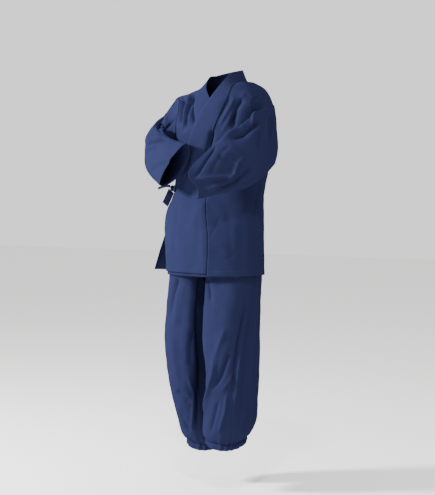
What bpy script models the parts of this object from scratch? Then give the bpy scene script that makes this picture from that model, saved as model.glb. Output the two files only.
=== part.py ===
"""Samue: a wrapped cotton jacket and gathered trousers, hollow, with the sleeves crossed in front.

Metres, +Z up. The origin is the centre of the neck, level with the neck's sides. The front faces
-Y and the wearer's left is +X. Run it with blender --background --python part.py.
"""

import math
from bisect import bisect_right
from typing import NamedTuple

import bmesh
import bpy
from mathutils import Vector

NAME = "samue"

# Cloth
WALL = 0.0016
BAND_WALL = 0.0018
SEAM_GAP = 0.0005
LAP_GAP = 0.0012
LAP_SHARE = 0.12
WRAP_ROOM = 0.0028
ROUGHNESS = 0.85

# Jacket
HEM_Z = -0.713
VENT_TOP_Z = -0.485
OKUMI_HEM_RISE = 0.009
UNDER_HEM_DROP = 0.004
UNDERARM_Z = -0.25
SHOULDER_HALF = 0.207
NECK_HALF = 0.072
BACK_NECK_HEIGHT = -0.064
SHOULDER_FORWARD = 0.028
RING_POWER = 2 / 2.25
FRONT_POWER = 2 / 3.0
BACK_POWER = 2 / 4.0
ARMHOLE_FRONT = 40.0
ARMHOLE_BACK = 20.0
ARMHOLE_POWER = 0.75
VENT_FLARE = 0.100
VENT_FLARE_SPREAD = 50.0
VENT_FLARE_POWER = 0.9
VENT_SWING = Vector((-1.0, 0.25, 0.05))
FOLD_ANGLE = 24.0
FOLD_FADE = 10.0
SHOULDER_FADE = 0.020
SHOULDER_PLAIN = 0.004
UPPER_LIFT = WALL + BAND_WALL + WRAP_ROOM
UPPER_LIFT_ANGLE = 84.0
UPPER_LIFT_SPREAD = 26.0
UPPER_LIFT_LEVEL = -0.055
UPPER_LIFT_DEPTH = 0.055
BAND_LIFT = WALL + LAP_GAP
BAND_RISE_POWER = 1.2
FRONT_RADIUS = 0.13
SIDE_RADIUS = 0.15
GAP_ANGLE = math.degrees(SEAM_GAP / 2 / FRONT_RADIUS)
POLE_GAP = math.degrees((SEAM_GAP / 2 / SIDE_RADIUS) ** (1 / RING_POWER))

# The tie at the wearer's right
TIE_WALL = 0.002
TIE_GAP = 0.0018
TIE_WIDTH = 0.026
TIE_HEIGHT = -0.402
TIE_INNER_ANGLE = -52.0
TIE_KNOT_ANGLE = -76.0
TIE_LOOP = ((0.005, 0.0095), (0.012, 0.026), (0.022, 0.048), (0.027, 0.058))
TIE_END = ((0.008, -0.006), (0.026, -0.007), (0.054, 0.002))
TIE_END_TILT = math.radians(20)
LOOP_DEPTH = 0.012
LOOP_TILT = (0.75, 0.66)
KNOT_SIZE = (0.030, 0.016, 0.026)
KNOT_SEAT = 0.42
KNOT_START = 0.006
WAIST_MIDDLE = (-0.015, -0.031)

# Trousers
CROTCH_Z = -0.80
CENTRE_X = -0.021
HIP_Z = -0.72
WAIST_Z = -0.425
WAISTBAND_DEPTH = 0.035
LEG_POWER = 2 / 2.2
SLEEVE_POWER = 1.15
CUFF_REACH = 0.070
CUFF_REACH_TURN = 0.28
CUFF_REACH_SPREAD = 0.10
CUFF_REACH_START = 0.50
SLEEVE_START = 0.03
SLEEVE_BLEND = 0.26
ARMHOLE_GAP = 0.0014
FRILL_GAP = 0.0013
HIP_GAP = 0.003
HIP_INSET = 0.012
HIP_SEAM_ANGLE = 0.15
WAISTBAND_GAP = 0.0012
HEM_TILT = 0.024
HEM_TILT_REACH = 0.100
HEM_TILT_POWER = 1.5
HEM_LOW_ANGLE = 35.0
FRILL_WAVES = 18
FRILL_WAVE = 0.0028

# The three-quarter view in which folds are laid out
VIEW_TURN = math.radians(32.0)
VIEW_RISE = math.radians(2.8)
VIEW_DISTANCE = 5.5
VIEW_TARGET = Vector((-0.0287, -0.018, -0.618))
FACING_SHARPNESS = 2.5
FOLD_START = 0.2
FOLD_END = 0.25

# How far apart spots are taken to find a surface's direction
STEP_ANGLE = 0.6
STEP_HEIGHT = 0.0008
SHOULDER_EDGE = -0.0004
LEG_STEP_ANGLE = 1.0
LEG_STEP_HEIGHT = 0.004
SLEEVE_STEP = 0.5
SLEEVE_STEP_ALONG = 0.01
SLEEVE_RUN = 0.03

# Rows and columns of the pieces
ROWS_BELOW_ARM = 11
ROWS_ARMHOLE = 14
PANEL_COLUMNS = 8
SLEEVE_ROWS = 18
LEG_ROWS_ABOVE = 6
LEG_ROWS_BELOW = 16
LEG_COLUMNS = 10

NAVY = (0.032, 0.052, 0.150, 1.0)
NAVY_BAND = (0.026, 0.042, 0.120, 1.0)


class Ring(NamedTuple):
    """A level section of the jacket's body."""

    level: float
    centre_x: float
    centre_y: float
    half_width: float
    front: float
    back: float


class Shoulder(NamedTuple):
    """A spot on the shoulder line."""

    across: float
    height: float


class Edge(NamedTuple):
    """A spot on an edge or seam of the body: its height, and its angle from the front centre."""

    height: float
    angle: float


class Band(NamedTuple):
    """A station of the collar: its seam and its free edge on the body, and the edge's rise."""

    along: float
    seam_angle: float
    seam_height: float
    edge_angle: float
    edge_height: float
    rise: float


class SleeveRing(NamedTuple):
    """A section of a sleeve: its top fold, its lowest line, and its fullness out and in."""

    along: float
    top_x: float
    top_y: float
    top_z: float
    low_x: float
    low_y: float
    low_z: float
    outward: float
    inward: float


class LegRing(NamedTuple):
    """A level section of a trouser leg."""

    level: float
    centre_x: float
    centre_y: float
    half_width: float
    half_depth: float
    inner_square: float


class FrillRow(NamedTuple):
    """A row of the frill: its share of the drop, its share of the wave, and how far out it stands."""

    drop: float
    wave: float
    outward: float


class Fold(NamedTuple):
    """A ridge (height above 0) or trough of a group, as a line across and up in the view."""

    group: str
    height: float
    width: float
    line: tuple


BODY_RINGS = (
    Ring(-0.735, -0.0169, -0.049, 0.1910, 0.118, 0.122),
    Ring(-0.650, -0.0173, -0.051, 0.1885, 0.121, 0.124),
    Ring(-0.590, -0.0166, -0.052, 0.1880, 0.123, 0.124),
    Ring(-0.507, -0.0190, -0.047, 0.1890, 0.117, 0.118),
    Ring(-0.430, -0.015, -0.031, 0.177, 0.104, 0.108),
    Ring(-0.386, -0.010, -0.023, 0.173, 0.102, 0.106),
    Ring(-0.310, -0.004, -0.020, 0.178, 0.111, 0.112),
    Ring(UNDERARM_Z, 0.000, -0.020, 0.186, 0.118, 0.122),
    Ring(0.000, 0.000, -0.020, SHOULDER_HALF, 0.118, 0.125),
)

SHOULDER_LINE = (
    Shoulder(-0.215, -0.076),
    Shoulder(-0.190, -0.058),
    Shoulder(-0.138, -0.046),
    Shoulder(-0.084, -0.029),
    Shoulder(0.000, -0.010),
    Shoulder(0.084, -0.008),
    Shoulder(0.130, -0.024),
    Shoulder(0.160, -0.046),
    Shoulder(0.185, -0.078),
    Shoulder(0.215, -0.110),
)

# The upper front: its panel seam, its collar seam and its free edge
OKUMI_SEAM = (
    Edge(-0.735, 10.5),
    Edge(-0.590, 13.5),
    Edge(-0.507, 10.5),
    Edge(-0.430, 4.5),
    Edge(-0.300, 1.5),
    Edge(-0.250, 3.6),
)
COLLAR_SEAM = (
    Edge(-0.415, -60.0),
    Edge(-0.360, -35.0),
    Edge(-0.300, -11.0),
    Edge(-0.250, 0.8),
    Edge(-0.216, 8.2),
    Edge(-0.174, 14.8),
    Edge(-0.127, 18.8),
    Edge(-0.072, 19.0),
    Edge(0.000, 17.8),
)
FREE_EDGE = (
    Edge(-0.735, -63.0),
    Edge(-0.600, -70.0),
    Edge(-0.450, -68.0),
    Edge(-0.415, -60.0),
)
UNDER_EDGE_ANGLE = 50.0

# The collar from its lower end to the neck's side, upper half and under half
UPPER_BAND = (
    Band(0.00, -60.0, -0.415, -80.0, -0.400, 0.000),
    Band(0.12, -35.0, -0.360, -59.0, -0.345, 0.000),
    Band(0.26, -11.0, -0.300, -39.0, -0.293, 0.000),
    Band(0.38, 0.8, -0.250, -20.4, -0.243, 0.000),
    Band(0.48, 8.2, -0.216, -11.8, -0.213, 0.000),
    Band(0.59, 14.8, -0.174, -5.0, -0.178, 0.000),
    Band(0.72, 18.8, -0.127, 2.0, -0.138, 0.001),
    Band(0.86, 19.0, -0.072, 9.4, -0.084, 0.016),
    Band(1.00, 17.8, 0.000, 12.2, 0.000, 0.035),
)
UNDER_BAND = (
    Band(0.00, 25.0, -0.338, 49.0, -0.322, 0.000),
    Band(0.18, 10.0, -0.297, 37.0, -0.287, 0.000),
    Band(0.32, -0.8, -0.250, 20.4, -0.243, 0.000),
    Band(0.42, -8.2, -0.216, 11.8, -0.213, 0.000),
    Band(0.54, -14.8, -0.174, 6.0, -0.178, 0.000),
    Band(0.68, -18.8, -0.127, 0.0, -0.136, 0.001),
    Band(0.84, -19.0, -0.072, -7.2, -0.084, 0.012),
    Band(1.00, -17.8, 0.000, -12.2, 0.000, 0.035),
)
BACK_BAND = (
    Band(0.00, 17.8, 0.000, 12.2, 0.000, 0.035),
    Band(0.25, 14.5, -0.034, 10.0, -0.025, 0.044),
    Band(0.50, 9.0, -0.053, 6.2, -0.045, 0.049),
    Band(1.00, 0.0, BACK_NECK_HEIGHT, 0.0, -0.056, 0.051),
)

LEFT_SLEEVE = (
    SleeveRing(0.00, 0.212, -0.026, -0.102, 0.190, -0.018, -0.250, 0.030, 0.012),
    SleeveRing(0.14, 0.206, -0.056, -0.106, 0.216, -0.034, -0.268, 0.030, 0.024),
    SleeveRing(0.28, 0.194, -0.105, -0.128, 0.243, -0.064, -0.296, 0.030, 0.030),
    SleeveRing(0.42, 0.180, -0.140, -0.158, 0.244, -0.090, -0.320, 0.034, 0.042),
    SleeveRing(0.56, 0.163, -0.166, -0.184, 0.222, -0.114, -0.354, 0.042, 0.044),
    SleeveRing(0.70, 0.136, -0.188, -0.202, 0.182, -0.152, -0.392, 0.044, 0.040),
    SleeveRing(0.85, 0.110, -0.206, -0.222, 0.115, -0.212, -0.412, 0.042, 0.036),
    SleeveRing(1.00, 0.085, -0.221, -0.239, 0.040, -0.262, -0.434, 0.040, 0.034),
)
RIGHT_SLEEVE = (
    SleeveRing(0.00, -0.204, -0.026, -0.074, -0.190, -0.018, -0.250, 0.030, 0.020),
    SleeveRing(0.14, -0.224, -0.030, -0.090, -0.216, -0.020, -0.268, 0.038, 0.022),
    SleeveRing(0.28, -0.246, -0.046, -0.124, -0.256, -0.034, -0.302, 0.036, 0.038),
    SleeveRing(0.42, -0.260, -0.070, -0.150, -0.290, -0.066, -0.326, 0.032, 0.038),
    SleeveRing(0.56, -0.232, -0.098, -0.176, -0.280, -0.098, -0.338, 0.032, 0.036),
    SleeveRing(0.70, -0.175, -0.134, -0.208, -0.236, -0.136, -0.360, 0.032, 0.038),
    SleeveRing(0.85, -0.112, -0.164, -0.226, -0.194, -0.174, -0.374, 0.028, 0.042),
    SleeveRing(1.00, -0.055, -0.187, -0.237, -0.155, -0.208, -0.386, 0.020, 0.046),
)

LEFT_LEG = (
    LegRing(-1.296, 0.055, -0.092, 0.067, 0.084, 2.1),
    LegRing(-1.282, 0.057, -0.089, 0.079, 0.097, 2.1),
    LegRing(-1.245, 0.065, -0.082, 0.087, 0.111, 2.2),
    LegRing(-1.170, 0.069, -0.075, 0.085, 0.112, 2.3),
    LegRing(-1.060, 0.073, -0.070, 0.083, 0.112, 2.6),
    LegRing(-0.950, 0.069, -0.066, 0.086, 0.115, 3.6),
    LegRing(-0.850, 0.068, -0.057, 0.0865, 0.112, 4.2),
    LegRing(CROTCH_Z, 0.068, -0.050, 0.087, 0.105, 4.5),
    LegRing(-0.720, 0.068, -0.046, 0.090, 0.094, 4.5),
)
RIGHT_LEG = (
    LegRing(-1.323, -0.089, -0.005, 0.061, 0.077, 2.1),
    LegRing(-1.306, -0.098, -0.008, 0.070, 0.088, 2.1),
    LegRing(-1.268, -0.102, -0.012, 0.076, 0.096, 2.1),
    LegRing(-1.215, -0.107, -0.020, 0.082, 0.105, 2.2),
    LegRing(-1.135, -0.113, -0.034, 0.086, 0.110, 2.4),
    LegRing(-1.060, -0.117, -0.042, 0.090, 0.114, 2.8),
    LegRing(-0.950, -0.120, -0.048, 0.093, 0.116, 3.6),
    LegRing(-0.850, -0.114, -0.050, 0.0900, 0.111, 4.2),
    LegRing(CROTCH_Z, -0.1125, -0.049, 0.0895, 0.105, 4.5),
    LegRing(-0.720, -0.110, -0.046, 0.090, 0.094, 4.5),
)
FRILL_DROP = 0.026
FRILL_SLANT = 0.22
FRILL_ROWS = (
    FrillRow(1.00, 1.0, 0.001),
    FrillRow(0.55, 0.7, 0.003),
    FrillRow(0.10, 0.0, -WALL - FRILL_GAP),
    FrillRow(-0.17, 0.0, -WALL - FRILL_GAP),
)

FOLDS = (
    Fold("body", -0.006, 0.017, ((-0.090, -0.030), (-0.128, -0.060), (-0.160, -0.150))),
    Fold("body", -0.008, 0.017, ((0.063, -0.065), (0.040, -0.095), (0.027, -0.145), (0.026, -0.185))),
    Fold("left_sleeve", -0.018, 0.020, ((0.138, -0.061), (0.090, -0.097), (0.032, -0.170))),
    Fold("left_sleeve", 0.011, 0.018, ((0.160, -0.084), (0.131, -0.097), (0.094, -0.130), (0.050, -0.175))),
    Fold("left_sleeve", -0.010, 0.018, ((0.145, -0.136), (0.109, -0.168), (0.020, -0.206))),
    Fold("left_sleeve", 0.007, 0.020, ((0.034, -0.334), (-0.010, -0.382), (-0.106, -0.392))),
    Fold("right_sleeve", -0.010, 0.018, ((-0.290, -0.234), (-0.206, -0.212))),
    Fold("right_sleeve", 0.007, 0.018, ((-0.290, -0.205), (-0.225, -0.188))),
    Fold("trousers", -0.014, 0.018, ((-0.186, -0.725), (-0.214, -0.885))),
    Fold("trousers", 0.008, 0.018, ((0.092, -0.772), (0.052, -0.966), (0.026, -1.145), (0.016, -1.249))),
    Fold("trousers", 0.007, 0.018, ((-0.007, -0.925), (-0.040, -1.015), (-0.059, -1.085))),
    Fold("trousers", 0.006, 0.018, ((0.035, -0.966), (-0.012, -1.107), (-0.059, -1.155))),
    Fold("trousers", 0.007, 0.018, ((-0.139, -1.107), (-0.120, -1.170), (-0.134, -1.310))),
)


def smooth_step(value):
    """Return an eased value from 0 to 1."""
    held = min(1.0, max(0.0, value))
    return held * held * (3 - 2 * held)


def read_table(rows, at):
    """Return the columns of a table at a place along its first column, eased through its rows."""
    keys = [row[0] for row in rows]
    if at <= keys[0]:
        return rows[0][1:]
    if at >= keys[-1]:
        return rows[-1][1:]
    low = bisect_right(keys, at) - 1
    span = keys[low + 1] - keys[low]
    share = (at - keys[low]) / span
    values = []
    for column in range(1, len(rows[0])):
        start, end = rows[low][column], rows[low + 1][column]
        slope_in = table_slope(rows, keys, low, column) * span
        slope_out = table_slope(rows, keys, low + 1, column) * span
        values.append(
            start * (1 + 2 * share) * (1 - share) ** 2
            + slope_in * share * (1 - share) ** 2
            + end * share**2 * (3 - 2 * share)
            + slope_out * share**2 * (share - 1)
        )
    return values


def table_slope(rows, keys, index, column):
    """Return a column's slope at a row of a table."""
    before = max(index - 1, 0)
    after = min(index + 1, len(rows) - 1)
    return (rows[after][column] - rows[before][column]) / (keys[after] - keys[before])


def power(value, exponent):
    """Return a value raised to an exponent with its sign kept."""
    return math.copysign(abs(value) ** exponent, value)


def view_axes():
    """Return the view's directions across, up and away."""
    across = Vector((math.cos(VIEW_TURN), math.sin(VIEW_TURN), 0))
    flat = Vector((-math.sin(VIEW_TURN), math.cos(VIEW_TURN), 0))
    away = flat * math.cos(VIEW_RISE) - Vector((0, 0, math.sin(VIEW_RISE)))
    return across, across.cross(away), away


ACROSS, UP, AWAY = view_axes()
EYE = VIEW_TARGET - AWAY * VIEW_DISTANCE
DRAWN_ORIGIN = (-VIEW_TARGET.dot(ACROSS), -VIEW_TARGET.dot(UP))


def drawn(point):
    """Return where a point lies in the view, across and up from the origin."""
    ray = point - EYE
    scale = VIEW_DISTANCE / ray.dot(AWAY)
    return ray.dot(ACROSS) * scale - DRAWN_ORIGIN[0], ray.dot(UP) * scale - DRAWN_ORIGIN[1]


def line_reach(line, across, up):
    """Return the distance from a spot to a line, and the share of the line's length there."""
    lengths = [math.dist(start, end) for start, end in zip(line, line[1:])]
    nearest, share, passed = math.inf, 0.0, 0.0
    for (start, end), length in zip(zip(line, line[1:]), lengths):
        run_x, run_y = end[0] - start[0], end[1] - start[1]
        part = ((across - start[0]) * run_x + (up - start[1]) * run_y) / length**2
        part = min(1.0, max(0.0, part))
        gap = math.hypot(across - start[0] - part * run_x, up - start[1] - part * run_y)
        if gap < nearest:
            nearest, share = gap, (passed + part * length) / sum(lengths)
        passed += length
    return nearest, share


def fold_shift(group, point, normal):
    """Return how far the folds of a group move a point along its normal."""
    facing = smooth_step(-normal.dot((point - EYE).normalized()) * FACING_SHARPNESS)
    if facing == 0:
        return 0.0
    across, up = drawn(point)
    total = 0.0
    for fold in FOLDS:
        if fold.group != group:
            continue
        reach, share = line_reach(fold.line, across, up)
        if reach < 3 * fold.width:
            taper = smooth_step(share / FOLD_START) * smooth_step((1 - share) / FOLD_END)
            total += fold.height * taper * math.exp(-((reach / fold.width) ** 2))
    return total * facing


def surface_normal(place, first, second, step_first, step_second):
    """Return the unit normal of a surface at two of its measures."""
    along = place(first + step_first, second) - place(first - step_first, second)
    up = place(first, second + step_second) - place(first, second - step_second)
    return along.cross(up).normalized()


def shoulder_spot(across):
    """Return the shoulder line's Y and Z at a distance across."""
    forward = SHOULDER_FORWARD * max(0.0, abs(across) - NECK_HALF) / (SHOULDER_HALF - NECK_HALF)
    return -forward, read_table(SHOULDER_LINE, across)[0]


def body_form(angle, height):
    """Return a spot of the jacket's body before its folds: angle in degrees, height in metres."""
    centre_x, centre_y, half_width, front, back = read_table(BODY_RINGS, height)
    turn = math.radians(angle)
    across = centre_x + half_width * power(math.sin(turn), RING_POWER)
    cosine = power(math.cos(turn), RING_POWER)
    in_front = cosine >= 0
    forward = centre_y - (front if in_front else back) * cosine
    if height <= UNDERARM_Z:
        return Vector((across, forward, height))
    climb = math.pi / 2 * min(1.0, 1 - height / UNDERARM_Z)
    exponent = FRONT_POWER if in_front else BACK_POWER
    ridge_y, ridge_z = shoulder_spot(across)
    inward = 1 - max(0.0, math.cos(climb)) ** exponent
    upward = math.sin(climb) ** exponent
    return Vector((across, forward + (ridge_y - forward) * inward, UNDERARM_Z + (ridge_z - UNDERARM_Z) * upward))


def body_normal(angle, height):
    """Return the outward direction of the jacket's body."""
    held = min(height, SHOULDER_EDGE) - STEP_HEIGHT
    return surface_normal(body_form, angle, held, STEP_ANGLE, STEP_HEIGHT)


def body_spot(angle, height, lift=0.0):
    """Return a spot on the jacket's body with its folds, raised by a lift."""
    point = body_form(angle, min(height, 0.0))
    normal = body_normal(angle, height)
    below_shoulder = smooth_step((-height - SHOULDER_PLAIN) / SHOULDER_FADE)
    fade = below_shoulder * smooth_step((abs(angle) - FOLD_ANGLE) / FOLD_FADE)
    return point + normal * (lift + fold_shift("body", point, normal) * fade)


def edge_angle(table, height):
    """Return an edge's angle at a height."""
    return read_table(table, height)[0]


def upper_lift(angle, height):
    """Return how far the upper front stands out, which fades to the side seam and the shoulder."""
    side = smooth_step((UPPER_LIFT_ANGLE - angle) / UPPER_LIFT_SPREAD)
    top = smooth_step((UPPER_LIFT_LEVEL - height) / UPPER_LIFT_DEPTH)
    return UPPER_LIFT * side * top


def armhole_angle(height, reach):
    """Return how far the armhole cuts in from the side at a height, in degrees."""
    if height <= UNDERARM_Z:
        return 0.0
    return reach * math.sin(math.pi * (1 - height / UNDERARM_Z)) ** ARMHOLE_POWER


def body_levels():
    """Return the heights of the rows that all the body's pieces share."""
    below = [HEM_Z + (UNDERARM_Z - HEM_Z) * row / ROWS_BELOW_ARM for row in range(ROWS_BELOW_ARM)]
    above = [UNDERARM_Z * (1 - row / ROWS_ARMHOLE) for row in range(ROWS_ARMHOLE + 1)]
    return below + above


LEVELS = body_levels()


def vent_flare(angle, height):
    """Return how far the right back panel swings out beside its vent."""
    down = max(0.0, (VENT_TOP_Z - height) / (VENT_TOP_Z - HEM_Z)) ** VENT_FLARE_POWER
    near = smooth_step(1 - abs(270 - angle) / VENT_FLARE_SPREAD)
    return VENT_FLARE * down * near


def make_material(name, colour):
    """Return a Principled material."""
    material = bpy.data.materials.new(name)
    material.use_nodes = True
    shader = material.node_tree.nodes["Principled BSDF"]
    shader.inputs["Base Color"].default_value = colour
    shader.inputs["Roughness"].default_value = ROUGHNESS
    shader.inputs["Metallic"].default_value = 0.0
    return material


def add_cloth(name, collection, columns, rows, place, wall=WALL, colour=NAVY, tube=False):
    """Add one cloth piece: a grid placed by a function of its shares across and up, then given a wall.

    Args:
        name: the piece's name.
        collection: where it goes.
        columns: faces across.
        rows: faces up.
        place: a function of the column's share and the row's number that returns a spot.
        wall: the cloth's thickness, outward.
        colour: its base colour.
        tube: whether the last column meets the first.
    """
    mesh = bpy.data.meshes.new(name)
    grid = bmesh.new()
    bmesh.ops.create_grid(grid, x_segments=columns, y_segments=rows, size=0.5)
    for vertex in grid.verts:
        across = vertex.co.x + 0.5
        row = round((vertex.co.y + 0.5) * rows)
        vertex.co = place(across, row)
    if tube:
        bmesh.ops.remove_doubles(grid, verts=grid.verts, dist=0.00005)
    grid.to_mesh(mesh)
    grid.free()
    mesh.shade_smooth()
    piece = bpy.data.objects.new(name, mesh)
    collection.objects.link(piece)
    mesh.materials.append(make_material(name + "_cotton", colour))
    solid = piece.modifiers.new("Wall", "SOLIDIFY")
    solid.thickness = wall
    solid.offset = 1.0
    return piece


def blend(start, end, share):
    """Return the value a share of the way from start to end."""
    return start + (end - start) * share


def back_neck_height(angle):
    """Return the height of the back panels' neck edge at an angle."""
    across = SHOULDER_HALF * abs(math.sin(math.radians(angle))) ** RING_POWER
    return BACK_NECK_HEIGHT * math.sqrt(1 - min(1.0, across / NECK_HALF) ** 2)


def add_back(collection, name, side):
    """Add one back panel, from the side seam and armhole to the centre back."""

    def place(across, row):
        level = LEVELS[row]
        cut = armhole_angle(level, ARMHOLE_BACK) + POLE_GAP
        if side > 0:
            angle = blend(90 + cut, 180 - POLE_GAP, across)
        else:
            angle = blend(180 + POLE_GAP, 270 - cut, across)
        top = back_neck_height(angle)
        height = level if level <= UNDERARM_Z else UNDERARM_Z + (level - UNDERARM_Z) * (1 - top / UNDERARM_Z)
        spot = body_spot(angle, height)
        if side < 0:
            spot += VENT_SWING * vent_flare(angle, level)
        if row == len(LEVELS) - 1:
            spot.y += SEAM_GAP
        return spot

    return add_cloth(name, collection, PANEL_COLUMNS, len(LEVELS) - 1, place)


def add_front(collection, name, side, lift):
    """Add one front panel, from the side seam and armhole to its overlap panel and the collar."""

    def place(across, row):
        level = LEVELS[row]
        table = COLLAR_SEAM if level > UNDERARM_Z else OKUMI_SEAM
        inner = edge_angle(table, level) + GAP_ANGLE
        outer = 90 - armhole_angle(level, ARMHOLE_FRONT) - POLE_GAP
        angle = blend(inner, outer, across if side > 0 else 1 - across)
        height = level - (UNDER_HEM_DROP if row == 0 and side < 0 else 0)
        spot = body_spot(side * angle, height, lift(angle, level))
        if row == len(LEVELS) - 1:
            spot.y -= SEAM_GAP
        return spot

    return add_cloth(name, collection, PANEL_COLUMNS, len(LEVELS) - 1, place)


def add_okumi(collection, name, side, lift):
    """Add one overlap panel, a tapered piece from the front panel's seam to the wrap edge."""
    rows = ROWS_BELOW_ARM

    def place(across, row):
        level = LEVELS[row]
        seam = edge_angle(OKUMI_SEAM, level) - GAP_ANGLE
        table = COLLAR_SEAM if level > COLLAR_SEAM[0].height else FREE_EDGE
        edge = edge_angle(table, level)
        if side < 0:
            edge = max(edge, -UNDER_EDGE_ANGLE)
        angle = blend(edge, seam, across if side > 0 else 1 - across)
        hem = OKUMI_HEM_RISE if side > 0 else -UNDER_HEM_DROP
        height = level + (hem if row == 0 else 0)
        return body_spot(side * angle, height, lift(angle, level))

    return add_cloth(name, collection, PANEL_COLUMNS - 1, rows, place)


def no_lift(angle, height):
    """Return the lift of the under front, which lies on the body's own form."""
    return 0.0


def band_spot(station, share, lift, turn=1.0, back=False):
    """Return a spot on the collar: a share of the way from its seam to its free edge."""
    seam_angle, seam_height, free_angle, free_height, rise = station
    angle = turn * blend(seam_angle, free_angle, share)
    height = blend(seam_height, free_height, share)
    if back:
        angle = 180 - angle
    spot = body_spot(angle, height, lift(angle, height) + BAND_LIFT)
    spot.z += rise * max(0.0, share) ** BAND_RISE_POWER
    return spot


def add_collar(collection):
    """Add the collar band in one length: upper half, round the neck, and under half."""
    upper, neck, under = 18, 12, 14
    columns = upper + neck + under

    def place(across, row):
        place_along = across * columns
        share = blend(-LAP_SHARE, 1, row / 3)
        if place_along <= upper:
            station = read_table(UPPER_BAND, place_along / upper)
            return band_spot(station, share, upper_lift)
        if place_along <= upper + neck:
            part = (place_along - upper) / neck * 2
            station = read_table(BACK_BAND, part if part <= 1 else 2 - part)
            return band_spot(station, share, no_lift, 1.0 if part <= 1 else -1.0, True)
        station = read_table(UNDER_BAND, 1 - (place_along - upper - neck) / under)
        return band_spot(station, share, no_lift)

    return add_cloth("collar", collection, columns, 3, place, BAND_WALL, NAVY_BAND)


def armhole_spot(side, step, lift_front):
    """Return a spot of the armhole's edge: step 0 at the underarm, up the back and down the front."""
    count = 2 * ROWS_ARMHOLE
    step %= count
    in_front = step > ROWS_ARMHOLE
    row = count - step if in_front else step
    level = UNDERARM_Z * (1 - row / ROWS_ARMHOLE)
    angle = 90 + armhole_angle(level, ARMHOLE_BACK)
    lift = 0.0
    if in_front:
        angle = 90 - armhole_angle(level, ARMHOLE_FRONT)
        lift = lift_front(angle, level)
    spot = body_spot(side * angle, level, lift)
    sideways = body_normal(side * angle, level).x
    return spot + Vector((side * (ARMHOLE_GAP + (WALL + ARMHOLE_GAP) * sideways**2), 0, 0))


def sleeve_form(table, side, step, along):
    """Return a spot of a sleeve's ring, from its lowest line over the outer face to the top fold."""
    top_x, top_y, top_z, low_x, low_y, low_z, outward, inward = read_table(table, along)
    ahead = read_table(table, along + SLEEVE_RUN)
    behind = read_table(table, along - SLEEVE_RUN)
    top, low = Vector((top_x, top_y, top_z)), Vector((low_x, low_y, low_z))
    run = Vector(ahead[0:3]) + Vector(ahead[3:6]) - Vector(behind[0:3]) - Vector(behind[3:6])
    out = (top - low).cross(run).normalized() * side
    turn = 2 * math.pi * step / (2 * ROWS_ARMHOLE)
    rise = (1 - math.cos(turn)) / 2
    swell = power(math.sin(turn), SLEEVE_POWER)
    depth = outward if swell > 0 else inward
    spot = low + (top - low) * rise + out * (swell * depth)
    if side > 0:
        near = math.exp(-(((turn / math.tau) % 1.0 - CUFF_REACH_TURN) / CUFF_REACH_SPREAD) ** 2)
        reach = CUFF_REACH * near * smooth_step((along - CUFF_REACH_START) / (1 - CUFF_REACH_START))
        spot += run.normalized() * reach
    return spot


def add_sleeve(collection, name, table, side, lift_front):
    """Add one sleeve, from its armhole to the open cuff, folded at the top and seamed below."""
    count = 2 * ROWS_ARMHOLE

    def form(step, along):
        return sleeve_form(table, side, step, along)

    def place(across, row):
        step = across * count
        if side < 0:
            step = count - step
        along = blend(SLEEVE_START, 1.0, row / SLEEVE_ROWS)
        ring = form(step, along)
        normal = surface_normal(form, step, along, SLEEVE_STEP, SLEEVE_STEP_ALONG) * side
        mix = smooth_step((along - SLEEVE_START) / SLEEVE_BLEND)
        ring += normal * fold_shift(name, ring, normal)
        return armhole_spot(side, round(step), lift_front).lerp(ring, mix)

    return add_cloth(name, collection, count, SLEEVE_ROWS, place, tube=True)


def leg_levels(table):
    """Return the heights of a leg's rows from its elastic to the waist."""
    below = [blend(table[0].level, CROTCH_Z, row / LEG_ROWS_BELOW) for row in range(LEG_ROWS_BELOW)]
    top = WAIST_Z - WAISTBAND_DEPTH
    above = [blend(CROTCH_Z, top, row / LEG_ROWS_ABOVE) for row in range(LEG_ROWS_ABOVE + 1)]
    return below + above


def leg_spot(table, side, angle, level):
    """Return a spot of a trouser leg's section, which is squarer toward the other leg."""
    centre_x, centre_y, half_width, half_depth, inner_square = read_table(table, level)
    turn = math.radians(angle)
    exponent = 2 / inner_square if side * math.sin(turn) < 0 else LEG_POWER
    across = centre_x + half_width * power(math.sin(turn), exponent)
    near_hem = 1 - smooth_step((level - table[0].level) / HEM_TILT_REACH)
    low_side = (1 + math.cos(turn - math.radians(HEM_LOW_ANGLE))) / 2
    tilt = HEM_TILT * near_hem * low_side**HEM_TILT_POWER
    return Vector((across, centre_y - half_depth * power(math.cos(turn), exponent), level - tilt))


def rise_angle(table, side, level):
    """Return the angle at which a leg's section meets the centre seam, 90 below the crotch."""
    centre_x, _, half_width, _, inner_square = read_table(table, level)
    reach = (side * (centre_x - CENTRE_X) - SEAM_GAP) / half_width
    if reach >= 1 or level <= CROTCH_Z:
        return 90.0
    return math.degrees(math.asin(reach ** (inner_square / 2)))


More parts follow.
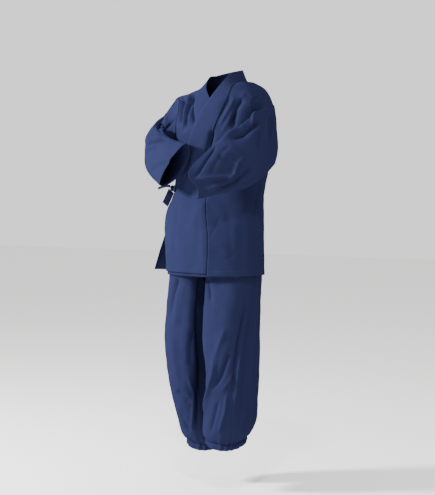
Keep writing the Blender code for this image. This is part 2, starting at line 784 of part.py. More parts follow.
def add_leg_panel(collection, name, table, side, front):
    """Add one trouser panel, from the elastic of its hem to the waistband."""
    levels = leg_levels(table)

    def form(angle, level):
        return leg_spot(table, side, angle, level)

    def place(across, row):
        level = levels[row]
        inner = rise_angle(table, side, level)
        share = across if side > 0 else 1 - across
        if front:
            angle = blend(-inner + POLE_GAP, 90 - POLE_GAP, share)
            hip_angle = blend(HIP_SEAM_ANGLE, 90 - POLE_GAP, share)
        else:
            share = 1 - share
            angle = blend(180 + inner - POLE_GAP, 90 + POLE_GAP, share)
            hip_angle = blend(180 - HIP_SEAM_ANGLE, 90 + POLE_GAP, share)
        leg = form(side * angle, level)
        normal = surface_normal(form, side * angle, level, LEG_STEP_ANGLE, LEG_STEP_HEIGHT)
        leg += normal * fold_shift("trousers", leg, normal)
        mix = smooth_step((level - HIP_Z) / (levels[-1] - HIP_Z))
        inset = blend(HIP_INSET, BAND_WALL + HIP_GAP, mix)
        hip = body_spot(side * hip_angle, level, -inset)
        spot = leg.lerp(hip, mix)
        clear = SEAM_GAP / 2 + WALL * (1 - mix)
        if side * (spot.x - CENTRE_X) < clear:
            spot.x = CENTRE_X + side * clear
        return spot

    return add_cloth(name, collection, LEG_COLUMNS, len(levels) - 1, place)


def add_waistband(collection):
    """Add the trousers' elastic waistband, just inside the jacket's waist."""
    columns, rows = 40, 2

    def place(across, row):
        level = blend(WAIST_Z - WAISTBAND_DEPTH + SEAM_GAP, WAIST_Z, row / rows)
        return body_spot(across * 360 - 90, level, -BAND_WALL - WAISTBAND_GAP)

    return add_cloth("waistband", collection, columns, rows, place, BAND_WALL, NAVY_BAND, True)


def add_cuff(collection, name, table, side):
    """Add the frill below a leg's elastic, in waves, its top edge just inside the leg's end."""
    columns, rows = FRILL_WAVES * 4, len(FRILL_ROWS) - 1

    def place(across, row):
        drop, wave, outward = FRILL_ROWS[row]
        angle = across * 360 - 90
        slant = math.cos(math.radians(angle - HEM_LOW_ANGLE))
        spot = leg_spot(table, side, angle, table[0].level)
        out = Vector((spot.x - table[0].centre_x, spot.y - table[0].centre_y, 0)).normalized()
        spot += out * (outward + math.sin(across * FRILL_WAVES * math.tau) * FRILL_WAVE * wave)
        spot.z -= drop * FRILL_DROP * (1 - FRILL_SLANT + FRILL_SLANT * slant)
        return spot

    return add_cloth(name, collection, columns, rows, place, tube=True)


def add_ribbon(collection, name, path, width_line, columns):
    """Add a flat tie along a path, with its width along the width line."""
    table = [(float(index), *spot) for index, spot in enumerate(path)]

    def place(across, row):
        centre = Vector(read_table(table, across * (len(path) - 1)))
        return centre + width_line * (row - 1) / 2

    return add_cloth(name, collection, columns, 2, place, TIE_WALL, NAVY_BAND)


def add_tie(collection):
    """Add the outer tie at the wearer's right side: its strap, its knot, a loop and a free end."""
    lift = UPPER_LIFT + BAND_LIFT + BAND_WALL + TIE_GAP

    def lie(across, row):
        angle = blend(TIE_INNER_ANGLE, TIE_KNOT_ANGLE, across)
        height = TIE_HEIGHT + TIE_WIDTH * (row / 2 - 0.5)
        return body_spot(angle, height, lift)

    add_cloth("tie_strap", collection, 4, 2, lambda across, row: lie(1 - across, row), TIE_WALL, NAVY_BAND)
    knot = body_spot(TIE_KNOT_ANGLE, TIE_HEIGHT, lift + TIE_WALL + LAP_GAP)
    out = (knot - Vector((*WAIST_MIDDLE, TIE_HEIGHT))).normalized()
    start = knot + out * KNOT_START
    down = Vector((0, 0, -1))
    broad = (ACROSS * LOOP_TILT[0] + down * LOOP_TILT[1]).normalized()
    outer = [start - ACROSS * side + down * drop for side, drop in TIE_LOOP]
    inner = [spot + AWAY * LOOP_DEPTH for spot in reversed(outer)]
    add_ribbon(collection, "tie_loop", outer + inner, broad * TIE_WIDTH, 12)
    end = [start - ACROSS * side + down * drop for side, drop in TIE_END]
    edge_on = down * math.sin(TIE_END_TILT) - AWAY * math.cos(TIE_END_TILT)
    add_ribbon(collection, "tie_end", end, edge_on * TIE_WIDTH, 6)
    add_knot(collection, knot, out)


def add_knot(collection, spot, out):
    """Add the tie's knot, a soft lump that sits on the strap."""
    mesh = bpy.data.meshes.new("tie_knot")
    lump = bmesh.new()
    bmesh.ops.create_cube(lump, size=1.0)
    for vertex in lump.verts:
        vertex.co = Vector((vertex.co.x * KNOT_SIZE[0], vertex.co.y * KNOT_SIZE[1], vertex.co.z * KNOT_SIZE[2]))
    lump.to_mesh(mesh)
    lump.free()
    mesh.shade_smooth()
    mesh.materials.append(make_material("tie_knot_cotton", NAVY_BAND))
    knot = bpy.data.objects.new("tie_knot", mesh)
    collection.objects.link(knot)
    knot.location = spot + out * KNOT_SIZE[1] * KNOT_SEAT
    knot.rotation_euler = out.to_track_quat("Y", "Z").to_euler()
    soften = knot.modifiers.new("Soften", "SUBSURF")
    soften.levels = 2
    soften.render_levels = 2


def clear_objects():
    """Remove every object of the scene."""
    for item in list(bpy.data.objects):
        bpy.data.objects.remove(item, do_unlink=True)


def make_collection():
    """Return a new collection named for the garment."""
    collection = bpy.data.collections.new(NAME)
    bpy.context.scene.collection.children.link(collection)
    return collection


def main():
    """Build the jacket and the trousers."""
    clear_objects()
    collection = make_collection()
    add_back(collection, "back_left", 1)
    add_back(collection, "back_right", -1)
    add_front(collection, "left_front", 1, upper_lift)
    add_okumi(collection, "left_okumi", 1, upper_lift)
    add_front(collection, "right_front", -1, no_lift)
    add_okumi(collection, "right_okumi", -1, no_lift)
    add_collar(collection)
    add_sleeve(collection, "left_sleeve", LEFT_SLEEVE, 1, upper_lift)
    add_sleeve(collection, "right_sleeve", RIGHT_SLEEVE, -1, no_lift)
    add_tie(collection)
    add_waistband(collection)
    for name, table, side in (("left", LEFT_LEG, 1), ("right", RIGHT_LEG, -1)):
        add_leg_panel(collection, "trouser_front_" + name, table, side, True)
        add_leg_panel(collection, "trouser_back_" + name, table, side, False)
        add_cuff(collection, "cuff_" + name, table, side)


main()
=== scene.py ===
"""Dresses the samue: its cotton panels with their creases, seams, hems and stitching, in a pale studio.

Metres, +Z up. The origin is the centre of the neck. The front faces -Y and the wearer's left is +X.
Creases are laid out in centimetres, across and up, as each side of the garment is seen.
"""

import logging
import math
from dataclasses import dataclass
from enum import Enum
from typing import Callable, NamedTuple, Sequence

import bmesh
import bpy
import numpy as np
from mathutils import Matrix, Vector


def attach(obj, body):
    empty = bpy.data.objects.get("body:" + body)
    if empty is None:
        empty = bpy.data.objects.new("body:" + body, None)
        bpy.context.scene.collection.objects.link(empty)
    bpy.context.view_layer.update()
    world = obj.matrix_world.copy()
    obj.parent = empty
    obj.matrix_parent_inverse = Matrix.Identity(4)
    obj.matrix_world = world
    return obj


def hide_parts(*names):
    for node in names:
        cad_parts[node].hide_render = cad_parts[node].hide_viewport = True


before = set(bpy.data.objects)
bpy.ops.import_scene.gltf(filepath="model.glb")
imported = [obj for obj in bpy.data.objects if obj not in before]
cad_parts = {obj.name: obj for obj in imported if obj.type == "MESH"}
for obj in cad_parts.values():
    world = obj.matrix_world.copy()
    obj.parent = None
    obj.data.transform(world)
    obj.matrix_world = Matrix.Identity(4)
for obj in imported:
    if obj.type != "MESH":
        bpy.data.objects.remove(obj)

Array = np.ndarray
Place = Callable[[Array, Array], Array]
Form = Callable[[Array, Array], Array]

MATH = "ShaderNodeMath"
NOISE = "ShaderNodeTexNoise"
# Spots nearer to each other than this, in metres, are one
WELD = 0.00004
SHORTEST = 1e-9
DOWN = np.array((0.0, 0.0, -1.0))
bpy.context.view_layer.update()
LOG = logging.getLogger("samue")


class Cloth(Enum):
    """The parts of the garment that crease together."""

    BODY = "body"
    LEFT_SLEEVE = "left sleeve"
    RIGHT_SLEEVE = "right sleeve"
    LEFT_LEG = "left leg"
    RIGHT_LEG = "right leg"


class Side(Enum):
    """The sides from which creases are laid out, as turns of the eye in degrees."""

    PHOTO = 32.0
    LEFT = 90.0
    BACK = 180.0
    RIGHT = 270.0


class Hold(Enum):
    """How a piece of cloth is held."""

    HUNG = "hung"
    GATHERED = "gathered"
    FOLDED = "folded"


class Ring(NamedTuple):
    """A level section of the jacket's body."""

    level: float
    centre_x: float
    centre_y: float
    half_width: float
    front: float
    back: float


class Shoulder(NamedTuple):
    """A spot on the shoulder line."""

    across: float
    height: float


class Edge(NamedTuple):
    """A spot on an edge or seam of the body: its height, and its angle from the front centre."""

    height: float
    angle: float


class Band(NamedTuple):
    """A station of the collar: its seam and its free edge on the body, and the edge's rise."""

    along: float
    seam_angle: float
    seam_height: float
    edge_angle: float
    edge_height: float
    rise: float


class SleeveRing(NamedTuple):
    """A section of a sleeve: its top fold, its lowest line, and its fullness out and in."""

    along: float
    top_x: float
    top_y: float
    top_z: float
    low_x: float
    low_y: float
    low_z: float
    outward: float
    inward: float


class LegRing(NamedTuple):
    """A level section of a trouser leg."""

    level: float
    centre_x: float
    centre_y: float
    half_width: float
    half_depth: float
    inner_square: float


class FrillRow(NamedTuple):
    """A row of the frill: its place up, its shares of the drop and the wave, and how far out it stands."""

    along: float
    drop: float
    wave: float
    outward: float


class Crease(NamedTuple):
    """A ridge (height above 0) or trough in a cloth: height and width in mm, its line in cm."""

    height: float
    width: float
    crisp: float
    line: tuple


class Rumple(NamedTuple):
    """A faint wave in all the cloth: its length in cm, its direction, and its height in mm."""

    length: float
    run_x: float
    run_y: float
    run_z: float
    start: float
    height: float


class Stitch(NamedTuple):
    """A row of stitches: along the piece's length or not, and its distance from an edge.

    A distance below 0 counts from the far edge.
    """

    lengthwise: bool
    distance: float


class Lamp(NamedTuple):
    """A square lamp: its name, its power in watts, its size and its place in metres."""

    name: str
    power: float
    size: float
    place: tuple[float, float, float]


BODY_RINGS = (
    Ring(-0.735, -0.0169, -0.049, 0.1910, 0.118, 0.122),
    Ring(-0.650, -0.0173, -0.051, 0.1885, 0.121, 0.124),
    Ring(-0.590, -0.0166, -0.052, 0.1880, 0.123, 0.124),
    Ring(-0.507, -0.0190, -0.047, 0.1890, 0.117, 0.118),
    Ring(-0.430, -0.015, -0.031, 0.177, 0.104, 0.108),
    Ring(-0.386, -0.010, -0.023, 0.173, 0.102, 0.106),
    Ring(-0.310, -0.004, -0.020, 0.178, 0.111, 0.112),
    Ring(-0.250, 0.000, -0.020, 0.186, 0.118, 0.122),
    Ring(0.000, 0.000, -0.020, 0.207, 0.118, 0.125),
)

SHOULDER_LINE = (
    Shoulder(-0.215, -0.076),
    Shoulder(-0.190, -0.058),
    Shoulder(-0.138, -0.046),
    Shoulder(-0.084, -0.029),
    Shoulder(0.000, -0.010),
    Shoulder(0.084, -0.008),
    Shoulder(0.130, -0.024),
    Shoulder(0.160, -0.046),
    Shoulder(0.185, -0.078),
    Shoulder(0.215, -0.110),
)

# The upper front: its panel seam, its collar seam and its free edge
OKUMI_SEAM = (
    Edge(-0.735, 10.5),
    Edge(-0.590, 13.5),
    Edge(-0.507, 10.5),
    Edge(-0.430, 4.5),
    Edge(-0.300, 1.5),
    Edge(-0.250, 3.6),
)
COLLAR_SEAM = (
    Edge(-0.415, -60.0),
    Edge(-0.360, -35.0),
    Edge(-0.300, -11.0),
    Edge(-0.250, 0.8),
    Edge(-0.216, 8.2),
    Edge(-0.174, 14.8),
    Edge(-0.127, 18.8),
    Edge(-0.072, 19.0),
    Edge(0.000, 17.8),
)
FREE_EDGE = (
    Edge(-0.735, -63.0),
    Edge(-0.600, -70.0),
    Edge(-0.450, -68.0),
    Edge(-0.415, -60.0),
)

# The collar from its lower end to the neck's side, upper half and under half
UPPER_BAND = (
    Band(0.00, -60.0, -0.415, -80.0, -0.400, 0.000),
    Band(0.12, -35.0, -0.360, -59.0, -0.345, 0.000),
    Band(0.26, -11.0, -0.300, -39.0, -0.293, 0.000),
    Band(0.38, 0.8, -0.250, -20.4, -0.243, 0.000),
    Band(0.48, 8.2, -0.216, -11.8, -0.213, 0.000),
    Band(0.59, 14.8, -0.174, -5.0, -0.178, 0.000),
    Band(0.72, 18.8, -0.127, 2.0, -0.138, 0.001),
    Band(0.86, 19.0, -0.072, 9.4, -0.084, 0.016),
    Band(1.00, 17.8, 0.000, 12.2, 0.000, 0.035),
)
UNDER_BAND = (
    Band(0.00, 25.0, -0.338, 49.0, -0.322, 0.000),
    Band(0.18, 10.0, -0.297, 37.0, -0.287, 0.000),
    Band(0.32, -0.8, -0.250, 20.4, -0.243, 0.000),
    Band(0.42, -8.2, -0.216, 11.8, -0.213, 0.000),
    Band(0.54, -14.8, -0.174, 6.0, -0.178, 0.000),
    Band(0.68, -18.8, -0.127, 0.0, -0.136, 0.001),
    Band(0.84, -19.0, -0.072, -7.2, -0.084, 0.012),
    Band(1.00, -17.8, 0.000, -12.2, 0.000, 0.035),
)
BACK_BAND = (
    Band(0.00, 17.8, 0.000, 12.2, 0.000, 0.035),
    Band(0.25, 14.5, -0.034, 10.0, -0.025, 0.044),
    Band(0.50, 9.0, -0.053, 6.2, -0.045, 0.049),
    Band(1.00, 0.0, -0.064, 0.0, -0.056, 0.051),
)

LEFT_SLEEVE = (
    SleeveRing(0.00, 0.212, -0.026, -0.102, 0.190, -0.018, -0.250, 0.030, 0.012),
    SleeveRing(0.14, 0.206, -0.056, -0.106, 0.216, -0.034, -0.268, 0.030, 0.024),
    SleeveRing(0.28, 0.194, -0.105, -0.128, 0.243, -0.064, -0.296, 0.030, 0.030),
    SleeveRing(0.42, 0.180, -0.140, -0.158, 0.244, -0.090, -0.320, 0.034, 0.042),
    SleeveRing(0.56, 0.163, -0.166, -0.184, 0.222, -0.114, -0.354, 0.042, 0.044),
    SleeveRing(0.70, 0.136, -0.188, -0.202, 0.182, -0.152, -0.392, 0.044, 0.040),
    SleeveRing(0.85, 0.110, -0.206, -0.222, 0.115, -0.212, -0.412, 0.042, 0.036),
    SleeveRing(1.00, 0.085, -0.221, -0.239, 0.040, -0.262, -0.434, 0.040, 0.034),
)
RIGHT_SLEEVE = (
    SleeveRing(0.00, -0.204, -0.026, -0.074, -0.190, -0.018, -0.250, 0.030, 0.020),
    SleeveRing(0.14, -0.224, -0.030, -0.090, -0.216, -0.020, -0.268, 0.038, 0.022),
    SleeveRing(0.28, -0.246, -0.046, -0.124, -0.256, -0.034, -0.302, 0.036, 0.038),
    SleeveRing(0.42, -0.260, -0.070, -0.150, -0.290, -0.066, -0.326, 0.032, 0.038),
    SleeveRing(0.56, -0.232, -0.098, -0.176, -0.280, -0.098, -0.338, 0.032, 0.036),
    SleeveRing(0.70, -0.175, -0.134, -0.208, -0.236, -0.136, -0.360, 0.032, 0.038),
    SleeveRing(0.85, -0.112, -0.164, -0.226, -0.194, -0.174, -0.374, 0.028, 0.042),
    SleeveRing(1.00, -0.055, -0.187, -0.237, -0.155, -0.208, -0.386, 0.020, 0.046),
)

LEFT_LEG = (
    LegRing(-1.296, 0.055, -0.092, 0.067, 0.084, 2.1),
    LegRing(-1.282, 0.057, -0.089, 0.079, 0.097, 2.1),
    LegRing(-1.245, 0.065, -0.082, 0.087, 0.111, 2.2),
    LegRing(-1.170, 0.069, -0.075, 0.085, 0.112, 2.3),
    LegRing(-1.060, 0.073, -0.070, 0.083, 0.112, 2.6),
    LegRing(-0.950, 0.069, -0.066, 0.086, 0.115, 3.6),
    LegRing(-0.850, 0.068, -0.057, 0.0865, 0.112, 4.2),
    LegRing(-0.800, 0.068, -0.050, 0.087, 0.105, 4.5),
    LegRing(-0.720, 0.068, -0.046, 0.090, 0.094, 4.5),
)
RIGHT_LEG = (
    LegRing(-1.323, -0.089, -0.005, 0.061, 0.077, 2.1),
    LegRing(-1.306, -0.098, -0.008, 0.070, 0.088, 2.1),
    LegRing(-1.268, -0.102, -0.012, 0.076, 0.096, 2.1),
    LegRing(-1.215, -0.107, -0.020, 0.082, 0.105, 2.2),
    LegRing(-1.135, -0.113, -0.034, 0.086, 0.110, 2.4),
    LegRing(-1.060, -0.117, -0.042, 0.090, 0.114, 2.8),
    LegRing(-0.950, -0.120, -0.048, 0.093, 0.116, 3.6),
    LegRing(-0.850, -0.114, -0.050, 0.0900, 0.111, 4.2),
    LegRing(-0.800, -0.1125, -0.049, 0.0895, 0.105, 4.5),
    LegRing(-0.720, -0.110, -0.046, 0.090, 0.094, 4.5),
)

# The frill from its lower edge to its top, which lies inside the leg's end
FRILL_ROWS = (
    FrillRow(0.00, 1.00, 1.0, 0.0000),
    FrillRow(0.38, 0.55, 0.7, 0.0014),
    FrillRow(0.74, 0.10, 0.0, -0.0029),
    FrillRow(1.00, -0.17, 0.0, -0.0029),
)

# By the part that they crease and the side on which they are laid out
CREASES = {
    (Cloth.BODY, Side.PHOTO): (
        Crease(-5, 6, 0.4, ((2.0, -5.3), (-0.2, -9.2), (-2.8, -14.4))),
        Crease(4, 6, 0.4, ((3.5, -5.5), (0.9, -10.7), (-2.8, -17.4))),
        Crease(-14, 8, 0.5, ((-4.5, -17.4), (-5.8, -23.0), (-7.7, -28.5))),
        Crease(-14, 7, 0.6, ((-11.4, -4.4), (-12.7, -7.9), (-12.9, -11.6), (-12.1, -17.4))),
        Crease(3, 7, 0.2, ((-10.3, -5.1), (-13.6, -9.7), (-14.4, -14.0), (-14.9, -19.6))),
        Crease(-24, 9, 0.5, ((-10.4, -3.2), (-12.2, -4.7), (-14.3, -8.4), (-15.5, -12.5), (-16.0, -19.6))),
        Crease(9, 6, 0.6, ((-13.2, -4.0), (-15.3, -8.1), (-16.4, -11.8), (-16.7, -18.1))),
        Crease(-22, 8, 0.5, ((-15.7, -4.7), (-16.4, -8.1), (-17.3, -11.4), (-17.9, -17.4))),
        Crease(6, 5, 0.5, ((-17.1, -6.6), (-18.0, -11.8), (-18.3, -17.0))),
        Crease(-17, 9, 0.6, ((6.5, -5.5), (3.7, -10.3), (2.6, -14.4), (2.8, -18.5))),
        Crease(4, 8, 0.2, ((7.4, -3.2), (4.6, -8.4), (1.3, -14.4), (-2.5, -20.3))),
        Crease(12, 38, 0.9, ((-8.3, -40.0), (-8.0, -52.0), (-7.6, -64.0), (-7.2, -80.0))),
        Crease(-8, 6, 0.6, ((-4.9, -18.0), (-6.0, -22.4), (-6.6, -25.5))),
        Crease(-1.2, 6, 0.3, ((-1.7, -49.4), (-3.9, -54.6), (-6.5, -59.4))),
        Crease(-1, 8, 0.3, ((5.4, -61.6), (1.3, -65.4), (-2.8, -67.2))),
        Crease(2, 14, 0, ((-10.3, -43.4), (-11.4, -56.1), (-12.1, -69.5))),
        Crease(-1.5, 14, 0, ((0.5, -46.4), (1.3, -57.5), (2.0, -70.2))),
        Crease(3, 12, 0, ((7.2, -48.6), (7.6, -59.0), (7.2, -70.2))),
        Crease(-4, 6, 0.4, ((11.5, -38.9), (10.8, -43.4), (9.8, -50.1))),
        Crease(3, 5, 0.4, ((12.4, -40.4), (11.7, -45.6), (11.3, -52.3))),
        Crease(-2.5, 8, 0.2, ((-17.3, -44.2), (-18.1, -53.8), (-19.6, -67.2))),
    ),
    (Cloth.LEFT_SLEEVE, Side.PHOTO): (
        Crease(-21, 9, 0.6, ((13.9, -5.8), (9.6, -9.7), (6.1, -13.9), (3.7, -18.5))),
        Crease(17, 7, 0.8, (
            (16.7, -7.5), (12.4, -9.7), (8.7, -13.5), (5.9, -17.0), (1.3, -20.0), (-4.3, -23.9))),
        Crease(-15, 9, 0.5, ((13.5, -14.0), (9.4, -17.4), (6.1, -20.0), (0.9, -21.7))),
        Crease(8, 5, 0.6, ((16.1, -10.7), (14.7, -16.3), (15.1, -21.8), (15.8, -25.2))),
        Crease(-8, 6, 0.4, ((17.6, -14.0), (16.9, -18.1), (17.1, -22.2))),
        Crease(7, 6, 0.6, ((11.7, -10.5), (10.2, -13.3), (9.3, -16.6))),
        Crease(-7, 8, 0.4, ((13.5, -17.4), (12.1, -21.8), (12.1, -26.3))),
        Crease(10, 6, 0.7, ((3.5, -30.8), (2.8, -34.3), (0.1, -36.9), (-5.8, -39.3), (-10.3, -40.4))),
        Crease(-13, 10, 0.5, ((10.9, -30.8), (6.5, -34.9), (1.3, -38.4), (-5.1, -41.0))),
        Crease(3.5, 7, 0.4, ((-2.8, -26.3), (3.1, -26.7), (7.6, -28.0))),
        Crease(-3, 7, 0.3, ((-3.6, -28.7), (2.4, -29.3), (6.5, -30.4))),
        Crease(4, 5, 0.5, ((18.4, -29.3), (15.8, -31.9), (13.2, -33.7))),
        Crease(-2.5, 8, 0.2, ((2.0, -22.6), (-1.7, -26.7), (-4.7, -31.5), (-6.2, -36.3))),
        Crease(-9, 4.5, 0.8, ((-3.4, -23.6), (-6.3, -27.6), (-8.3, -30.8), (-10.5, -34.2), (-12.6, -36.6))),
        Crease(11, 7, 0.8, ((-12.6, -35.9), (-4.0, -35.6), (2.8, -35.0), (4.4, -30.4), (8.2, -26.6))),
        Crease(4, 8, 0.4, ((-6.0, -39.6), (-1.0, -37.8), (4.5, -35.0))),
    ),
    (Cloth.RIGHT_SLEEVE, Side.PHOTO): (
        Crease(-20, 12, 0.4, ((-23.0, -11.2), (-26.4, -15.0), (-22.9, -19.0))),
        Crease(-14, 8, 0.5, ((-25.5, -13.3), (-24.4, -17.0), (-21.4, -19.2), (-17.0, -21.1))),
        Crease(7, 6, 0.5, ((-22.9, -11.4), (-22.7, -15.1), (-21.8, -18.1))),
        Crease(-14, 9, 0.4, ((-20.3, -8.1), (-20.7, -11.8), (-19.6, -15.9))),
        Crease(-12, 6, 0.6, ((-30.7, -24.3), (-28.1, -22.6), (-25.1, -21.7), (-21.1, -21.5))),
        Crease(6, 6, 0.5, ((-30.4, -21.8), (-27.4, -20.5), (-23.7, -20.5))),
        Crease(-7, 6, 0.5, ((-30.7, -26.9), (-28.5, -25.2), (-24.8, -23.7))),
        Crease(3, 10, 0.2, ((-29.2, -30.0), (-24.8, -29.3), (-18.1, -28.2))),
        Crease(-5, 9, 0.4, ((-28.5, -33.4), (-24.8, -31.5), (-20.7, -29.3))),
    ),
    (Cloth.RIGHT_LEG, Side.PHOTO): (
        Crease(-40, 34, 0, (
            (-8.6, -58.0), (-8.9, -86.0), (-8.3, -95.5), (-7.4, -107.0), (-8.3, -117.0),
            (-9.0, -126.0), (-9.0, -131.0))),
        Crease(-11, 9, 0.4, ((-17.3, -71.7), (-19.8, -79.5), (-21.6, -89.5))),
        Crease(5, 10, 0.2, ((-15.8, -72.4), (-17.7, -81.4), (-19.2, -92.5))),
        Crease(-9, 12, 0.3, ((-12.1, -91.0), (-13.6, -99.2), (-13.2, -107.4))),
        Crease(7, 7, 0.6, ((-14.7, -108.1), (-12.1, -116.3), (-12.5, -124.5), (-13.1, -132.7))),
        Crease(-6, 9, 0.3, ((-18.8, -114.5), (-15.8, -117.1), (-13.2, -120.0))),
        Crease(-8, 10, 0.3, ((-10.3, -113.0), (-10.6, -120.4), (-11.4, -130.5))),
        Crease(4, 7, 0.4, ((-18.5, -120.0), (-17.0, -124.9), (-14.7, -129.7))),
        Crease(-3, 6, 0.4, ((-17.0, -123.0), (-14.7, -127.5), (-12.5, -131.2))),
        Crease(3, 12, 0, ((-20.3, -95.5), (-19.2, -104.4), (-17.3, -114.1))),
    ),
    (Cloth.LEFT_LEG, Side.PHOTO): (
        Crease(6, 6, 0.5, ((-9.0, -71.3), (-8.8, -76.9), (-8.4, -81.4))),
        Crease(-9, 8, 0.4, ((-7.1, -71.7), (-6.5, -77.6), (-5.8, -82.8))),
        Crease(6, 9, 0.4, ((-0.2, -91.0), (-2.6, -97.7), (-5.4, -105.9), (-6.9, -109.6))),
        Crease(15, 7, 0.8, ((-3.9, -102.2), (-4.7, -108.9), (-7.1, -117.8), (-8.4, -126.0))),
        Crease(-10, 8, 0.4, ((1.6, -99.2), (-1.7, -108.9), (-5.4, -115.2))),
        Crease(4, 7, 0.4, ((4.6, -104.4), (1.3, -111.1), (-2.5, -116.3))),
        Crease(8, 6, 0.6, ((0.1, -115.6), (-0.6, -123.0), (-3.2, -131.9))),
        Crease(-6, 7, 0.4, ((-2.8, -117.8), (-4.3, -124.1), (-6.2, -131.9))),
        Crease(10, 6, 0.8, (
            (9.4, -75.8), (7.2, -85.8), (5.4, -96.2), (4.2, -107.4), (3.1, -118.6), (2.0, -128.2))),
        Crease(-10, 6, 0.7, ((8.1, -79.9), (6.1, -88.1), (4.1, -98.1), (2.8, -108.1), (1.6, -119.3))),
        Crease(-7, 7, 0.4, ((10.0, -81.4), (8.3, -91.8), (7.0, -103.7), (5.7, -117.1), (5.0, -127.5))),
        Crease(5, 6, 0.5, ((10.9, -88.1), (9.8, -100.0), (8.7, -112.6), (8.0, -123.8))),
        Crease(2.5, 12, 0, ((-4.7, -73.9), (-3.9, -82.8), (-5.1, -92.5))),
        Crease(4, 6, 0.4, ((7.2, -120.0), (6.1, -126.0), (4.2, -131.9))),
    ),
    (Cloth.BODY, Side.BACK): (
        Crease(-5, 11, 0.3, ((-15.5, -9), (-11.5, -14), (-9.5, -22))),
        Crease(4, 12, 0.3, ((-17, -15), (-12, -21), (-8, -31))),
        Crease(-4.5, 11, 0.3, ((16, -8), (12.5, -15), (11.5, -25))),
        Crease(4, 12, 0.3, ((17, -18), (12, -26), (9, -36))),
        Crease(-5, 13, 0.2, ((-16, -36), (-6, -40), (5, -39), (14, -35))),
        Crease(4, 11, 0.3, ((-14, -41), (-4, -45), (6, -43.5))),
        Crease(-3, 16, 0, ((-8, -47), (-9, -58), (-10, -71))),
        Crease(3.5, 16, 0, ((2, -48), (3.5, -60), (4, -71))),
        Crease(-3.5, 15, 0, ((9, -46), (11, -58), (12, -71))),
    ),
    (Cloth.LEFT_SLEEVE, Side.BACK): (
        Crease(-7, 12, 0.3, ((-19, -12), (-23, -18), (-24, -27))),
        Crease(6, 11, 0.4, ((-21.5, -14), (-25.5, -21), (-26, -29))),
        Crease(-5, 10, 0.3, ((-18, -20), (-20.5, -25), (-21, -31))),
    ),
    (Cloth.RIGHT_SLEEVE, Side.BACK): (
        Crease(-7, 11, 0.3, ((21, -9), (25, -15), (28, -24))),
        Crease(6, 11, 0.4, ((21, -15), (25, -21), (26, -30))),
        Crease(-5, 10, 0.3, ((23.5, -24), (27, -28), (29, -31))),
    ),
    (Cloth.LEFT_LEG, Side.BACK): (
        Crease(-5, 14, 0.2, ((-13, -72), (-11.5, -90), (-11, -108))),
        Crease(5, 12, 0.4, ((-12, -98), (-9, -103), (-4, -106))),
        Crease(-5, 10, 0.4, ((-12, -103), (-8, -108), (-3, -110))),
        Crease(5, 11, 0.4, ((-13, -108), (-9, -116), (-8, -128))),
        Crease(4, 16, 0.1, ((-5, -74), (-6, -86), (-5, -98))),
    ),
    (Cloth.RIGHT_LEG, Side.BACK): (
        Crease(-5, 14, 0.2, ((11, -73), (10, -90), (11, -110))),
        Crease(5, 12, 0.4, ((16, -98), (12, -104), (8, -107))),
        Crease(-5, 10, 0.4, ((19, -103), (13, -109), (8, -112))),
        Crease(5, 11, 0.4, ((16, -110), (12, -118), (10, -130))),
        Crease(4, 16, 0.1, ((5, -75), (5, -88), (7, -100))),
    ),
    (Cloth.BODY, Side.RIGHT): (
        Crease(-4, 11, 0.2, ((2, -43), (4, -52), (4, -62))),
        Crease(4, 12, 0.2, ((9, -42), (11, -54), (12, -70))),
    ),
    (Cloth.RIGHT_SLEEVE, Side.RIGHT): (
        Crease(6, 10, 0.4, ((3, -13), (8, -20), (13, -25))),
        Crease(-6, 10, 0.3, ((1, -19), (6, -25), (12, -29))),
        Crease(-4, 10, 0.3, ((7, -14), (12, -20), (17, -24))),
    ),
    (Cloth.RIGHT_LEG, Side.RIGHT): (
        Crease(5, 13, 0.2, ((1, -74), (2, -92), (1, -110))),
        Crease(-5, 12, 0.2, ((6, -78), (7, -96), (5, -114))),
        Crease(5, 9, 0.4, ((-4, -104), (2, -112), (5, -124))),
    ),
    (Cloth.BODY, Side.LEFT): (
        Crease(-4, 11, 0.2, ((-3, -30), (-4, -42), (-3, -56))),
        Crease(4, 12, 0.2, ((3, -28), (4, -44), (4, -64))),
    ),
}

RUMPLES = (
    Rumple(6.3, 0.8, 0.2, 0.55, 0.4, 0.34),
    Rumple(4.7, -0.5, 0.3, 0.80, 1.9, 0.26),
    Rumple(9.1, 0.3, 0.9, -0.30, 2.7, 0.55),
    Rumple(7.4, 0.9, -0.3, -0.20, 4.1, 0.40),
    Rumple(3.6, 0.4, 0.6, 0.70, 5.3, 0.14),
)


def ease(value: Array) -> Array:
    """Return an eased value from 0 to 1."""
    held = np.clip(value, 0.0, 1.0)
    return held * held * (3 - 2 * held)


def blend(start: Array, end: Array, share: Array) -> Array:
    """Return the value a share of the way from start to end."""
    return start + (end - start) * share


def power(value: Array, exponent: Array) -> Array:
    """Return a value raised to an exponent with its sign kept."""
    return np.sign(value) * np.abs(value) ** exponent


def rows_of(*columns: Array) -> Array:
    """Return points, one a row, from their X, Y and Z."""
    return np.stack(np.broadcast_arrays(*columns), axis=-1)


def unit(vectors: Array) -> Array:
    """Return vectors at a length of 1."""
    return vectors / np.maximum(np.linalg.norm(vectors, axis=-1, keepdims=True), SHORTEST)


